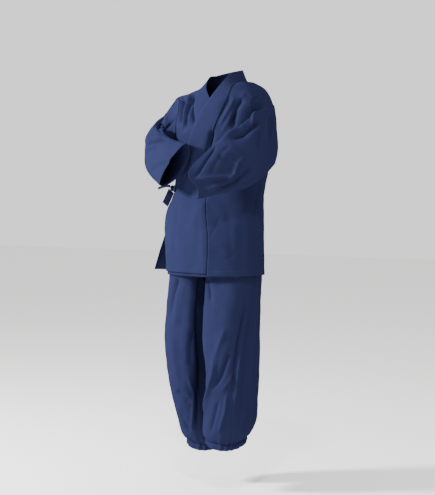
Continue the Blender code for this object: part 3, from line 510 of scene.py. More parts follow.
def read_table(rows: Sequence[tuple], at: Array) -> Array:
    """Read a table at places along its first column, eased through its rows.

    Args:
        rows: the table, its first column rising.
        at: the places to read.

    Returns:
        The other columns, one a row of the result.
    """
    table = np.array(rows, dtype=float)
    keys, values = table[:, 0], table[:, 1:]
    before = np.maximum(np.arange(len(keys)) - 1, 0)
    after = np.minimum(np.arange(len(keys)) + 1, len(keys) - 1)
    slopes = (values[after] - values[before]) / (keys[after] - keys[before])[:, None]
    held = np.clip(np.asarray(at, dtype=float), keys[0], keys[-1])
    low = np.clip(np.searchsorted(keys, held, side="right") - 1, 0, len(keys) - 2)
    span = (keys[low + 1] - keys[low])[..., None]
    share = ((held - keys[low]) / span[..., 0])[..., None]
    result = (
        values[low] * (1 + 2 * share) * (1 - share) ** 2
        + slopes[low] * span * share * (1 - share) ** 2
        + values[low + 1] * share**2 * (3 - 2 * share)
        + slopes[low + 1] * span * share**2 * (share - 1)
    )
    return np.moveaxis(result, -1, 0)


def surface_normal(form: Form, first: Array, second: Array, step_first: float, step_second: float) -> Array:
    """Work out the normals of a surface.

    Args:
        form: the surface, a function of two measures.
        first: the first measure's values.
        second: the second measure's values.
        step_first: how far to each side the first measure is compared.
        step_second: how far to each side the second measure is compared.

    Returns:
        The unit normals.
    """
    along = form(first + step_first, second) - form(first - step_first, second)
    rise = form(first, second + step_second) - form(first, second - step_second)
    return unit(np.cross(along, rise))


@dataclass(frozen=True)
class Eye:
    """A place from which a side of the garment is seen."""

    side: Side
    rise: float = math.radians(2.8)
    distance: float = 5.5
    target: tuple[float, float, float] = (-0.0287, -0.018, -0.618)
    facing_rate: float = 2.5

    def axes(self) -> tuple[Array, Array, Array]:
        """Work out the view's directions.

        Returns:
            The directions across, up and away.
        """
        turn = math.radians(self.side.value)
        rise = self.rise if self.side is Side.PHOTO else 0.0
        across = np.array((math.cos(turn), math.sin(turn), 0.0))
        flat = np.array((-math.sin(turn), math.cos(turn), 0.0))
        away = flat * math.cos(rise) - np.array((0.0, 0.0, math.sin(rise)))
        return across, np.cross(across, away), away

    def place(self) -> Array:
        """Return where the eye is."""
        return np.array(self.target) - self.axes()[2] * self.distance

    def drawn(self, points: Array) -> tuple[Array, Array]:
        """Work out where points are seen.

        Args:
            points: the points.

        Returns:
            How far across and how far up from the origin they are seen.
        """
        across, up, away = self.axes()
        if self.side is not Side.PHOTO:
            return points @ across, points @ up
        ray = points - self.place()
        scale = self.distance / (ray @ away)
        target = np.array(self.target)
        return ray @ across * scale + target @ across, ray @ up * scale + target @ up

    def facing(self, points: Array, normals: Array) -> Array:
        """Return from 0 to 1 how much the surface at the points faces the eye."""
        ray = unit(points - self.place()) if self.side is Side.PHOTO else self.axes()[2]
        return ease(-np.sum(normals * ray, axis=-1) * self.facing_rate)


@dataclass(frozen=True)
class Creasing:
    """How the creases and the faint rumples shape the cloth."""

    centimetre: float = 0.01
    millimetre: float = 0.001
    start_taper: float = 0.22
    end_taper: float = 0.28
    rounding: float = 0.25
    crisp_width: float = 0.8
    bend: float = 0.8
    bend_length: float = 0.19

    def line_reach(self, line: tuple, across: Array, up: Array) -> tuple[Array, Array]:
        """Measure spots against a line.

        Args:
            line: the line's points in cm.
            across: the spots' places across, in metres.
            up: the spots' places up, in metres.

        Returns:
            The distances to the line, and the shares of its length at the nearest places.
        """
        points = np.array(line) * self.centimetre
        runs = points[1:] - points[:-1]
        lengths = np.linalg.norm(runs, axis=1)
        passed = np.concatenate(([0.0], np.cumsum(lengths)))
        nearest = np.full(across.shape, np.inf)
        share = np.zeros(across.shape)
        for start, run, length, done in zip(points, runs, lengths, passed):
            part = np.clip(((across - start[0]) * run[0] + (up - start[1]) * run[1]) / length**2, 0, 1)
            gap = np.hypot(across - start[0] - part * run[0], up - start[1] - part * run[1])
            closer = gap < nearest
            nearest = np.where(closer, gap, nearest)
            share = np.where(closer, (done + part * length) / passed[-1], share)
        return nearest, share

    def profile(self, reach: Array, width: float, crisp: float) -> Array:
        """Work out a crease's height beside its line.

        Args:
            reach: the distances from the line.
            width: the crease's width in metres.
            crisp: 0 for a soft swell, and 1 for a crease that is crisp at its line.

        Returns:
            The height, from 0 to 1.
        """
        soft = np.exp(-((reach / width) ** 2))
        rounding = self.rounding * width
        sharp = np.exp(-(np.sqrt(reach**2 + rounding**2) - rounding) / (self.crisp_width * width))
        return soft * (1 - crisp) + sharp * crisp

    def shift(self, cloth: Cloth, points: Array, normals: Array) -> Array:
        """Work out how far the creases and rumples move a cloth along its normals.

        Args:
            cloth: the part of the garment.
            points: its spots before they are creased.
            normals: its normals there.

        Returns:
            The moves in metres.
        """
        total = self.rumple(points)
        for side in Side:
            eye = Eye(side)
            across, up = eye.drawn(points)
            seen = np.zeros(across.shape)
            for crease in CREASES.get((cloth, side), ()):
                reach, share = self.line_reach(crease.line, across, up)
                taper = ease(share / self.start_taper) * ease((1 - share) / self.end_taper)
                width = crease.width * self.millimetre
                seen += crease.height * self.millimetre * taper * self.profile(reach, width, crease.crisp)
            total = total + seen * eye.facing(points, normals)
        return total

    def rumple(self, points: Array) -> Array:
        """Work out the height of the faint waves.

        Args:
            points: the spots to rumple.

        Returns:
            The heights in metres.
        """
        total = np.zeros(points.shape[:-1])
        for wave in RUMPLES:
            run = unit(np.array((wave.run_x, wave.run_y, wave.run_z)))
            turn = points @ run * math.tau / (wave.length * self.centimetre)
            bend = self.bend * np.sin(points @ np.roll(run, 1) * math.tau / self.bend_length + wave.start)
            total += np.sin(turn + bend + wave.start) * wave.height * self.millimetre
        return total


@dataclass(frozen=True)
class BodyForm:
    """The form that the jacket's panels lie on. Angles are in degrees from the front's middle."""

    underarm: float = -0.25
    shoulder_half: float = 0.207
    neck_half: float = 0.072
    back_neck: float = -0.048
    back_neck_half: float = 0.069
    shoulder_forward: float = 0.028
    ring_power: float = 2 / 2.25
    front_power: float = 2 / 3.0
    back_power: float = 2 / 4.0
    armhole_front: float = 40.0
    armhole_back: float = 20.0
    armhole_power: float = 0.75
    lap_lift: float = 0.0062
    lap_side: float = 84.0
    lap_side_fade: float = 26.0
    lap_top: float = -0.055
    band_lift: float = 0.0028
    normal_turn: float = 0.6
    normal_step: float = 0.0008
    still_top: float = 0.004
    still_fade: float = 0.02
    creasing: Creasing = Creasing()

    def flat(self, angle: Array, height: Array) -> Array:
        """Place spots on the body before its creases.

        Args:
            angle: the spots' angles.
            height: their heights in metres, 0 on the shoulder line.

        Returns:
            The spots.
        """
        angle, height = np.broadcast_arrays(np.asarray(angle, float), np.asarray(height, float))
        centre_x, centre_y, half_width, front, back = read_table(BODY_RINGS, height)
        turn = np.radians(angle)
        across = centre_x + half_width * power(np.sin(turn), self.ring_power)
        cosine = power(np.cos(turn), self.ring_power)
        in_front = cosine >= 0
        forward = centre_y - np.where(in_front, front, back) * cosine
        climb = math.pi / 2 * np.clip(1 - height / self.underarm, 0, 1)
        exponent = np.where(in_front, self.front_power, self.back_power)
        past_neck = np.maximum(0.0, np.abs(across) - self.neck_half)
        ridge_y = -self.shoulder_forward * past_neck / (self.shoulder_half - self.neck_half)
        ridge_z = read_table(SHOULDER_LINE, across)[0]
        inward = 1 - np.maximum(0.0, np.cos(climb)) ** exponent
        upward = np.sin(climb) ** exponent
        above = rows_of(
            across,
            forward + (ridge_y - forward) * inward,
            self.underarm + (ridge_z - self.underarm) * upward,
        )
        below = rows_of(across, forward, height)
        return np.where((height <= self.underarm)[..., None], below, above)

    def normal(self, angle: Array, height: Array) -> Array:
        """Return the body's outward normals."""
        held = np.minimum(height, -self.normal_step / 2) - self.normal_step
        return surface_normal(self.flat, angle, held, self.normal_turn, self.normal_step)

    def spot(self, angle: Array, height: Array, lift: Array = 0.0) -> Array:
        """Place spots on the creased body.

        Args:
            angle: the spots' angles.
            height: their heights in metres.
            lift: how far out they stand, in metres.

        Returns:
            The spots.
        """
        angle, height = np.broadcast_arrays(np.asarray(angle, float), np.asarray(height, float))
        points = self.flat(angle, np.minimum(height, 0.0))
        normals = self.normal(angle, height)
        fade = ease((-height - self.still_top) / self.still_fade)
        shift = self.creasing.shift(Cloth.BODY, points, normals) * fade
        return points + normals * (lift + shift)[..., None]

    def lap(self, angle: Array, height: Array) -> Array:
        """Return how far the upper front stands out, which fades to the side seam and the shoulder."""
        over_side = ease((self.lap_side - angle) / self.lap_side_fade)
        return self.lap_lift * over_side * ease((self.lap_top - height) / -self.lap_top)

    def no_lap(self, angle: Array, height: Array) -> Array:
        """Return the lift of the under front, which lies on the body's own form."""
        return np.zeros(np.broadcast(angle, height).shape)

    def armhole_cut(self, height: Array, reach: float) -> Array:
        """Return how far the armhole cuts in from the side at a height, in degrees."""
        rise = np.sin(math.pi * np.clip(1 - height / self.underarm, 0, 1))
        return np.where(height <= self.underarm, 0.0, reach * np.maximum(rise, 0) ** self.armhole_power)

    def back_neck_height(self, angle: Array) -> Array:
        """Return the height of the back panels' neck edge at an angle."""
        across = self.shoulder_half * np.abs(np.sin(np.radians(angle))) ** self.ring_power
        return self.back_neck * np.sqrt(1 - np.minimum(1.0, across / self.back_neck_half) ** 2)


@dataclass(frozen=True)
class SleeveForm:
    """The form of one sleeve, from its armhole to its cuff.

    A turn runs from 0 at the sleeve's lowest line over its outer face to 0.5 at its top fold.
    """

    cloth: Cloth
    side: int
    rings: tuple
    body: BodyForm
    swell_power: float = 1.15
    start: float = 0.03
    blend_length: float = 0.26
    seam_gap: float = 0.0014
    wall: float = 0.0016
    reach: float = 0.070
    reach_turn: float = 0.28
    reach_spread: float = 0.10
    reach_start: float = 0.50
    run_step: float = 0.03
    normal_turn: float = 0.018
    normal_step: float = 0.01

    def flat(self, turn: Array, along: Array) -> Array:
        """Place spots on the sleeve before its creases.

        Args:
            turn: the spots' turns round the sleeve.
            along: their shares of its length.

        Returns:
            The spots.
        """
        turn, along = np.broadcast_arrays(np.asarray(turn, float), np.asarray(along, float))
        here = read_table(self.rings, along)
        ahead = read_table(self.rings, along + self.run_step)
        behind = read_table(self.rings, along - self.run_step)
        top, low = np.moveaxis(here[0:3], 0, -1), np.moveaxis(here[3:6], 0, -1)
        run = np.moveaxis(ahead[0:3] + ahead[3:6] - behind[0:3] - behind[3:6], 0, -1)
        out = unit(np.cross(top - low, run)) * self.side
        around = math.tau * turn
        rise = ((1 - np.cos(around)) / 2)[..., None]
        swell = power(np.sin(around), self.swell_power)
        depth = np.where(swell > 0, here[6], here[7])
        spots = low + (top - low) * rise + out * (swell * depth)[..., None]
        if self.side < 0:
            return spots
        near = np.exp(-((turn % 1.0 - self.reach_turn) / self.reach_spread) ** 2)
        near = near * ease((along - self.reach_start) / (1 - self.reach_start))
        return spots + unit(run) * (self.reach * near)[..., None]

    def root(self, turn: Array) -> Array:
        """Place spots on the armhole's edge, which the sleeve is sewn to.

        Args:
            turn: the spots' turns round the sleeve.

        Returns:
            The spots.
        """
        turn = turn % 1.0
        in_front = turn > 0.5
        height = self.body.underarm * (1 - np.where(in_front, 2 - 2 * turn, 2 * turn))
        reach = np.where(in_front, self.body.armhole_front, self.body.armhole_back)
        cut = self.body.armhole_cut(height, 1.0) * reach
        angle = np.where(in_front, 90 - cut, 90 + cut)
        raised = self.body.lap if self.side > 0 else self.body.no_lap
        lift = np.where(in_front, raised(angle, height), 0.0)
        spots = self.body.spot(self.side * angle, height, lift)
        sideways = self.body.normal(self.side * angle, height)[..., 0]
        spots[..., 0] += self.side * (self.seam_gap + (self.wall + self.seam_gap) * sideways**2)
        return spots

    def spot(self, turn: Array, along: Array) -> Array:
        """Place spots on the creased sleeve.

        Args:
            turn: the spots' turns round the sleeve.
            along: their shares of its length.

        Returns:
            The spots.
        """
        points = self.flat(turn, along)
        normals = surface_normal(self.flat, turn, along, self.normal_turn, self.normal_step) * self.side
        mix = ease((along - self.start) / self.blend_length)
        points = points + normals * self.body.creasing.shift(self.cloth, points, normals)[..., None]
        return blend(self.root(turn), points, mix[..., None])


@dataclass(frozen=True)
class LegForm:
    """The form of one trouser leg. Angles are in degrees from its front toward its outer side."""

    cloth: Cloth
    side: int
    rings: tuple
    body: BodyForm
    square: float = 2 / 2.2
    crotch: float = -0.80
    hip: float = -0.72
    top: float = -0.460
    centre_x: float = -0.021
    wall: float = 0.0016
    hip_inset: float = 0.012
    waist_inset: float = 0.0048
    gathers: int = 18
    gather_height: float = 0.0022
    gather_reach: float = 0.085
    # Two slow waves round the hem move the gathers aside, and one varies their depth
    wander: tuple[float, float] = (0.9, 0.6)
    wander_waves: tuple[int, int] = (2, 5)
    wander_start: float = 1.3
    depth: tuple[float, float] = (0.55, 0.45)
    depth_waves: int = 3
    depth_start: float = 0.7
    hem_tilt: float = 0.024
    hem_tilt_reach: float = 0.100
    hem_low_angle: float = 35.0
    hem_tilt_power: float = 1.5
    normal_turn: float = 1.0
    normal_step: float = 0.004

    def flat(self, angle: Array, level: Array) -> Array:
        """Place spots on the leg's section, which is squarer toward the other leg.

        Args:
            angle: the spots' angles.
            level: their heights in metres.

        Returns:
            The spots.
        """
        angle, level = np.broadcast_arrays(np.asarray(angle, float), np.asarray(level, float))
        centre_x, centre_y, half_width, half_depth, inner_square = read_table(self.rings, level)
        turn = np.radians(angle)
        inner = self.side * np.sin(turn) < 0
        exponent = np.where(inner, 2 / inner_square, self.square)
        across = centre_x + half_width * power(np.sin(turn), exponent)
        near_hem = 1 - ease((level - self.rings[0].level) / self.hem_tilt_reach)
        low_side = (1 + np.cos(turn - math.radians(self.hem_low_angle))) / 2
        tilt = self.hem_tilt * near_hem * low_side**self.hem_tilt_power
        return rows_of(across, centre_y - half_depth * power(np.cos(turn), exponent), level - tilt)

    def rise_angle(self, level: Array) -> Array:
        """Work out where the section meets the centre seam.

        Args:
            level: the heights of the sections.

        Returns:
            The angles, 90 below the crotch.
        """
        centre_x, _, half_width, _, inner_square = read_table(self.rings, level)
        reach = self.side * (centre_x - self.centre_x) / half_width
        meets = (reach < 1) & (level > self.crotch)
        held = np.clip(reach, 0, 1) ** (inner_square / 2)
        return np.where(meets, np.degrees(np.arcsin(held)), 90.0)

    def gathering(self, angle: Array) -> Array:
        """Work out the uneven waves that the elastic draws the cloth into.

        Args:
            angle: the angles round the leg.

        Returns:
            The waves' height, from -1 to 1.
        """
        turn = (angle + 90) / 360 * math.tau
        slow = self.wander[0] * np.sin(self.wander_waves[0] * turn + self.side)
        quick = self.wander[1] * np.sin(self.wander_waves[1] * turn + self.wander_start)
        depth = self.depth[0] + self.depth[1] * np.sin(self.depth_waves * turn + self.depth_start)
        return np.sin(self.gathers * turn + (slow + quick)) * depth

    def spot(self, angle: Array, level: Array) -> Array:
        """Place spots on the creased leg, gathered toward its elastic.

        Args:
            angle: the spots' angles.
            level: their heights in metres.

        Returns:
            The spots.
        """
        points = self.flat(angle, level)
        normals = surface_normal(self.flat, angle, level, self.normal_turn, self.normal_step)
        near = 1 - ease((level - self.rings[0].level) / self.gather_reach)
        gather = self.gather_height * near**2 * self.gathering(angle)
        shift = self.body.creasing.shift(self.cloth, points, normals) + gather
        return points + normals * shift[..., None]

    def panel(self, angle: Array, hip_angle: Array, level: Array) -> Array:
        """Place spots on a panel, which joins the leg to the hip that the jacket covers.

        Args:
            angle: the spots' angles round the leg.
            hip_angle: their angles round the hip.
            level: their heights in metres.

        Returns:
            The spots.
        """
        leg = self.spot(self.side * angle, level)
        mix = ease((level - self.hip) / (self.top - self.hip))
        inset = blend(self.hip_inset, self.waist_inset, mix)
        hip = self.body.spot(self.side * hip_angle, level, -inset)
        spots = blend(leg, hip, mix[..., None])
        clear = self.wall * (1 - mix)
        aside = self.side * (spots[..., 0] - self.centre_x)
        spots[..., 0] = self.centre_x + self.side * np.maximum(aside, clear)
        return spots


def linear(hex_colour: str) -> tuple[float, float, float, float]:
    """Turn a colour linear.

    Args:
        hex_colour: an sRGB hex colour.

    Returns:
        The linear colour.
    """
    parts = [int(hex_colour[at : at + 2], 16) / 255 for at in (1, 3, 5)]
    turned = [part / 12.92 if part <= 0.04045 else ((part + 0.055) / 1.055) ** 2.4 for part in parts]
    return (*turned, 1.0)


def add_node(
    tree: bpy.types.NodeTree, kind: str, inputs: dict | Sequence = (), **settings: object
) -> bpy.types.Node:
    """Add a node to a tree.

    Args:
        tree: the material's tree.
        kind: the node's type.
        inputs: by name or in their order, each input's value or the socket that it is linked to.
        settings: the node's own settings.

    Returns:
        The node.
    """
    node = tree.nodes.new(kind)
    for name, value in settings.items():
        setattr(node, name, value)
    for key, value in inputs.items() if isinstance(inputs, dict) else enumerate(inputs):
        if isinstance(value, bpy.types.NodeSocket):
            tree.links.new(value, node.inputs[key])
        else:
            node.inputs[key].default_value = value
    return node


@dataclass(frozen=True)
class NavyTsumugiCotton:
    """Slubby cotton, yarn-dyed navy, plain woven and washed, with its sewing.

    The dyed yarn gives a deep dull blue, its slubs give faint broken threads of a lighter tone, the
    plain weave gives a fine grain, and the washing gives a soft crumple. Its fibres scatter all the
    light, so it has no shine.
    """

    name: str
    stitches: tuple[Stitch, ...] = ()
    colour: str = "#1F223D"
    deep: str = "#1A1D33"
    thread: str = "#252946"
    # A yarn of 0.4 mm is too fine to show, so it is drawn 0.9 mm wide
    yarn: float = 0.0009
    slub_length: float = 0.012
    # The dye is uneven over about 11 cm
    fade_size: float = 1 / 9
    weave_tone: float = 0.22
    slub_tone: float = 0.45
    fade_tone: float = 0.40
    weave_height: float = 0.05
    crumple_size: float = 0.020
    crumple_height: float = 0.34
    crumple_detail: float = 2.5
    stitch_length: float = 0.0032
    stitch_share: float = 0.72
    stitch_sink: float = 0.15
    # A sewing thread of 0.2 mm is too fine to show, so it is drawn 1 mm wide
    stitch_half_width: float = 0.0005
    bump_distance: float = 0.001
    roughness: float = 0.95
    ior: float = 1.2
    specular: float = 0.0
    sheen: float = 0.01
    sheen_roughness: float = 0.5
    sheen_tint: str = "#7B8BB8"

    def weave(self, tree: bpy.types.NodeTree, across: object, along: object) -> bpy.types.NodeSocket:
        """Add the height of the plain weave.

        Args:
            tree: the material's tree.
            across: the measure across the piece, in metres.
            along: the measure along it.

        Returns:
            The height, from 0 to 1.
        """
        turn = math.pi / self.yarn
        warp = add_node(tree, MATH, (across, turn), operation="MULTIPLY").outputs[0]
        weft = add_node(tree, MATH, (along, turn), operation="MULTIPLY").outputs[0]
        warp = add_node(tree, MATH, (warp,), operation="SINE").outputs[0]
        weft = add_node(tree, MATH, (weft,), operation="SINE").outputs[0]
        both = add_node(tree, MATH, (warp, weft), operation="MULTIPLY").outputs[0]
        return add_node(tree, MATH, (both, 0.5, 0.5), operation="MULTIPLY_ADD").outputs[0]

    def stitching(
        self, tree: bpy.types.NodeTree, across: object, along: object, width: float, length: float
    ) -> bpy.types.NodeSocket | float:
        """Add the rows of stitches.

        Args:
            tree: the material's tree.
            across: the measure across the piece, in metres.
            along: the measure along it.
            width: the piece's width in metres.
            length: its length in metres.

        Returns:
            Their mask, 1 on a stitch.
        """
        total: bpy.types.NodeSocket | float = 0.0
        for row in self.stitches:
            over, run = (across, along) if row.lengthwise else (along, across)
            reach = width if row.lengthwise else length
            line = row.distance if row.distance >= 0 else reach + row.distance
            off = add_node(tree, MATH, (over, line), operation="SUBTRACT").outputs[0]
            off = add_node(tree, MATH, (off,), operation="ABSOLUTE").outputs[0]
            on_line = add_node(tree, MATH, (off, self.stitch_half_width), operation="LESS_THAN").outputs[0]
            step = add_node(tree, MATH, (run, self.stitch_length), operation="DIVIDE").outputs[0]
            step = add_node(tree, MATH, (step,), operation="FRACT").outputs[0]
            sewn = add_node(tree, MATH, (step, self.stitch_share), operation="LESS_THAN").outputs[0]
            stitch = add_node(tree, MATH, (on_line, sewn), operation="MULTIPLY").outputs[0]
            total = add_node(tree, MATH, (stitch, total), operation="MAXIMUM").outputs[0]
        return total

    def build(self, width: float, length: float) -> bpy.types.Material:
        """Build the material of one piece.

        Args:
            width: the piece's width in metres.
            length: its length in metres.

        Returns:
            The material.
        """
        material = bpy.data.materials.new(self.name)
        material.use_nodes = True
        tree = material.node_tree
        shader = tree.nodes["Principled BSDF"]
        chart = add_node(tree, "ShaderNodeUVMap", uv_map="cloth").outputs[0]
        parts = add_node(tree, "ShaderNodeSeparateXYZ", (chart,)).outputs
        place = add_node(tree, "ShaderNodeTexCoord").outputs["Object"]
        weave = self.weave(tree, parts[0], parts[1])
        stitching = self.stitching(tree, parts[0], parts[1], width, length)
        stretch = (1 / self.slub_length, 1 / self.yarn / 2, 1.0)
        yarns = add_node(tree, "ShaderNodeVectorMath", (chart, stretch), operation="MULTIPLY").outputs[0]
        slub = add_node(tree, NOISE, {"Vector": yarns, "Scale": 1.0, "Detail": 1.0}).outputs["Fac"]
        grain = {"Vector": place, "Scale": 1 / self.crumple_size, "Detail": self.crumple_detail}
        crumple = add_node(tree, NOISE, grain).outputs["Fac"]
        patches = {"Vector": place, "Scale": 1 / self.fade_size, "Detail": 2.0}
        fade = add_node(tree, NOISE, patches).outputs["Fac"]
        tone = add_node(tree, MATH, (weave, self.weave_tone), operation="MULTIPLY").outputs[0]
        tone = add_node(tree, MATH, (slub, self.slub_tone, tone), operation="MULTIPLY_ADD").outputs[0]
        tone = add_node(tree, MATH, (fade, self.fade_tone, tone), operation="MULTIPLY_ADD").outputs[0]
        dyes = {"Factor": tone, "A": linear(self.deep), "B": linear(self.colour)}
        cloth = add_node(tree, "ShaderNodeMix", dyes, data_type="RGBA")
        sewing = {"Factor": stitching, "B": linear(self.thread)}
        sewn = add_node(tree, "ShaderNodeMix", sewing, data_type="RGBA")
        tree.links.new(cloth.outputs["Result"], sewn.inputs["A"])
        height = add_node(tree, MATH, (weave, self.weave_height), operation="MULTIPLY").outputs[0]
        for part, rise in ((crumple, self.crumple_height), (stitching, -self.stitch_sink)):
            height = add_node(tree, MATH, (part, rise, height), operation="MULTIPLY_ADD").outputs[0]
        relief = {"Height": height, "Distance": self.bump_distance, "Strength": 1.0}
        bump = add_node(tree, "ShaderNodeBump", relief)
        tree.links.new(sewn.outputs["Result"], shader.inputs["Base Color"])
        tree.links.new(bump.outputs[0], shader.inputs["Normal"])
        shader.inputs["Roughness"].default_value = self.roughness
        shader.inputs["IOR"].default_value = self.ior
        shader.inputs["Specular IOR Level"].default_value = self.specular
        shader.inputs["Sheen Weight"].default_value = self.sheen
        shader.inputs["Sheen Roughness"].default_value = self.sheen_roughness
        shader.inputs["Sheen Tint"].default_value = linear(self.sheen_tint)
        return material


@dataclass(frozen=True)
class Cut:
    """One cut piece of cloth: the node that it replaces, its flat size, and how finely it is made."""

    node: str
    width: float
    length: float
    columns: int
    rows: int
    area: float | None = None
    hold: Hold = Hold.HUNG
    wall: float = 0.0016
    tube: bool = False
    rests_on: tuple[str, ...] = ()


def measure_sides(points: Array) -> tuple[float, float]:
    """Return a grid of points' mean width and length."""
    steps = [np.linalg.norm(np.diff(points, axis=axis), axis=-1).sum(axis=axis).mean() for axis in (1, 0)]
    return float(steps[0]), float(steps[1])


def dress(node: str, mesh: bpy.types.Mesh, cotton: bpy.types.Material, wall: float = 0.0) -> bpy.types.Object:
    """Put a dressed piece in the place of its solid.

    Args:
        node: the solid's name.
        mesh: the piece's mesh.
        cotton: its material.
        wall: how thick the mesh is made, or 0 for a solid lump.

    Returns:
        The piece.
    """
    mesh.shade_smooth()
    mesh.materials.append(cotton)
    piece = bpy.data.objects.new(mesh.name, mesh)
    bpy.context.scene.collection.objects.link(piece)
    if wall:
        thickness = piece.modifiers.new("Wall", "SOLIDIFY")
        thickness.thickness = wall
        thickness.offset = 1.0
    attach(piece, "root")
    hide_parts(node)
    return piece


def sew(cut: Cut, place: Place, stitches: tuple[Stitch, ...] = ()) -> bpy.types.Object:
    """Make one piece of cloth and dress it.

    Args:
        cut: the piece's cut.
        place: a function of the shares across and along that returns spots.
        stitches: its rows of stitches.

    Returns:
        The finished piece.
    """
    mesh = bpy.data.meshes.new(cut.node + "_cloth")
    grid = bmesh.new()
    bmesh.ops.create_grid(grid, x_segments=cut.columns, y_segments=cut.rows, size=0.5)
    shares = np.array([vertex.co for vertex in grid.verts])[:, :2] + 0.5
    points = place(shares[:, 0], shares[:, 1])
    # The grid's spots are sorted into rows, to measure its sides
    order = np.lexsort((shares[:, 0].round(5), shares[:, 1].round(5)))
    width, length = measure_sides(points[order].reshape(cut.rows + 1, cut.columns + 1, 3))
    chart = grid.loops.layers.uv.new("cloth")
    for face in grid.faces:
        for loop in face.loops:
            loop[chart].uv = ((loop.vert.co.x + 0.5) * width, (loop.vert.co.y + 0.5) * length)
    for vertex, point in zip(grid.verts, points):
        vertex.co = point
    if cut.tube:
        bmesh.ops.remove_doubles(grid, verts=grid.verts, dist=WELD)
    grid.to_mesh(mesh)
    grid.free()
    cotton = NavyTsumugiCotton(cut.node + "_cotton", stitches).build(width, length)
    piece = dress(cut.node, mesh, cotton, cut.wall)
    return piece


@dataclass
class Jacket:
    """The jacket without its sleeves: two backs, two fronts with their overlap panels, and the collar."""

    form: BodyForm
    hem: float = -0.713
    vent_top: float = -0.485
    hem_row: float = 0.0421
    overlap_hem_rise: float = 0.009
    under_hem_drop: float = 0.004
    under_edge: float = 50.0
    vent_flare: float = 0.100
    vent_spread: float = 50.0
    vent_power: float = 0.9
    vent_swing: tuple[float, float, float] = (-1.0, 0.25, 0.05)
    seam_angle: float = 0.11
    lap_share: float = 0.12
    band_swell: float = 0.0008
    band_wall: float = 0.0018
    rise_power: float = 1.2
    seam_press: float = 0.0009
    press_reach: float = 0.10
    upper_share: float = 18 / 44
    neck_share: float = 12 / 44
    hem_depth: float = 0.020
    seam_stitch: float = 0.0015
    edge_stitch: float = 0.012
    collar_stitches: tuple[float, float] = (0.006, -0.004)

    def make(self) -> list[bpy.types.Object]:
        """Make the jacket's pieces.

        Returns:
            The pieces.
        """
        pieces = []
        for side in (1, -1):
            pieces += [self.make_back(side), self.make_front(side), self.make_overlap(side)]
        return [*pieces, self.make_collar()]

    def levels(self, along: Array) -> Array:
        """Return the heights at shares of the way from the hem to the shoulder."""
        return self.hem * (1 - along)

    def hem_shift(self, level: Array, drop: float) -> Array:
        """Return how far a hem's own rise or drop moves a level near it."""
        return drop * np.clip(1 - (level - self.hem) / self.hem_row, 0, 1)

    def flare(self, angle: Array, level: Array) -> Array:
        """Return how far the right back panel swings out beside its vent."""
        down = np.maximum(0.0, (self.vent_top - level) / (self.vent_top - self.hem)) ** self.vent_power
        return self.vent_flare * down * ease(1 - np.abs(270 - angle) / self.vent_spread)

    def make_back(self, side: int) -> bpy.types.Object:
        """Make one back panel, from the side seam and armhole to the centre back.

        Args:
            side: 1 for the wearer's left and -1 for the right.

        Returns:
            The panel.
        """

        def place(across: Array, along: Array) -> Array:
            """Place the panel.

            Args:
                across: the shares across it.
                along: the shares along it.

            Returns:
                Its spots.
            """
            level = self.levels(along)
            cut = self.form.armhole_cut(level, self.form.armhole_back)
            angle = blend(90 + cut, 180.0, across) if side > 0 else blend(180.0, 270 - cut, across)
            share = 1 - self.form.back_neck_height(angle) / self.form.underarm
            arm = self.form.underarm
            height = np.where(level <= arm, level, arm + (level - arm) * share)
            spots = self.form.spot(angle, height)
            if side < 0:
                spots += self.flare(angle, level)[..., None] * np.array(self.vent_swing)
            return spots

        name = "back_left" if side > 0 else "back_right"
        sides = (Stitch(True, self.seam_stitch), Stitch(True, -self.seam_stitch))
        return sew(Cut(name, 0.31, 0.79, 88, 180, area=0.215), place, (Stitch(False, self.hem_depth), *sides))

    def make_front(self, side: int) -> bpy.types.Object:
        """Make one front panel, from the side seam and armhole to its overlap panel and the collar.

        Args:
            side: 1 for the wearer's left and -1 for the right.

        Returns:
            The panel.
        """
        raised = self.form.lap if side > 0 else self.form.no_lap

        def place(across: Array, along: Array) -> Array:
            """Place the panel.

            Args:
                across: the shares across it.
                along: the shares along it.

            Returns:
                Its spots.
            """
            level = self.levels(along)
            above = level > self.form.underarm
            seam = np.where(above, read_table(COLLAR_SEAM, level)[0], read_table(OKUMI_SEAM, level)[0])
            cut = self.form.armhole_cut(level, self.form.armhole_front)
            share = across if side > 0 else 1 - across
            angle = blend(seam + self.seam_angle, 90 - cut, share)
            drop = self.under_hem_drop if side < 0 else 0.0
            height = level - self.hem_shift(level, drop)
            return self.form.spot(side * angle, height, raised(angle, level))

        name = "left_front" if side > 0 else "right_front"
        seams = (Stitch(False, self.hem_depth), Stitch(True, side * self.seam_stitch))
        return sew(Cut(name, 0.30, 0.79, 110, 240, area=0.185), place, seams)

    def make_overlap(self, side: int) -> bpy.types.Object:
        """Make one overlap panel, which tapers from the hem to its point at the collar.

        Args:
            side: 1 for the wearer's left and -1 for the right.

        Returns:
            The panel.
        """
        raised = self.form.lap if side > 0 else self.form.no_lap

        def place(across: Array, along: Array) -> Array:
            """Place the panel.

            Args:
                across: the shares across it.
                along: the shares along it.

            Returns:
                Its spots.
            """
            level = blend(self.hem, self.form.underarm, along)
            seam = read_table(OKUMI_SEAM, level)[0] - self.seam_angle
            under_collar = level > COLLAR_SEAM[0].height
            edge = np.where(under_collar, read_table(COLLAR_SEAM, level)[0], read_table(FREE_EDGE, level)[0])
            if side < 0:
                edge = np.maximum(edge, -self.under_edge)
            angle = blend(edge, seam, across if side > 0 else 1 - across)
            drop = -self.overlap_hem_rise if side > 0 else self.under_hem_drop
            height = level - self.hem_shift(level, drop)
            return self.form.spot(side * angle, height, raised(angle, level))

        name = "left_okumi" if side > 0 else "right_okumi"
        seams = (Stitch(False, self.hem_depth), Stitch(True, side * self.edge_stitch))
        return sew(Cut(name, 0.20, 0.50, 60, 130, area=0.075), place, seams)

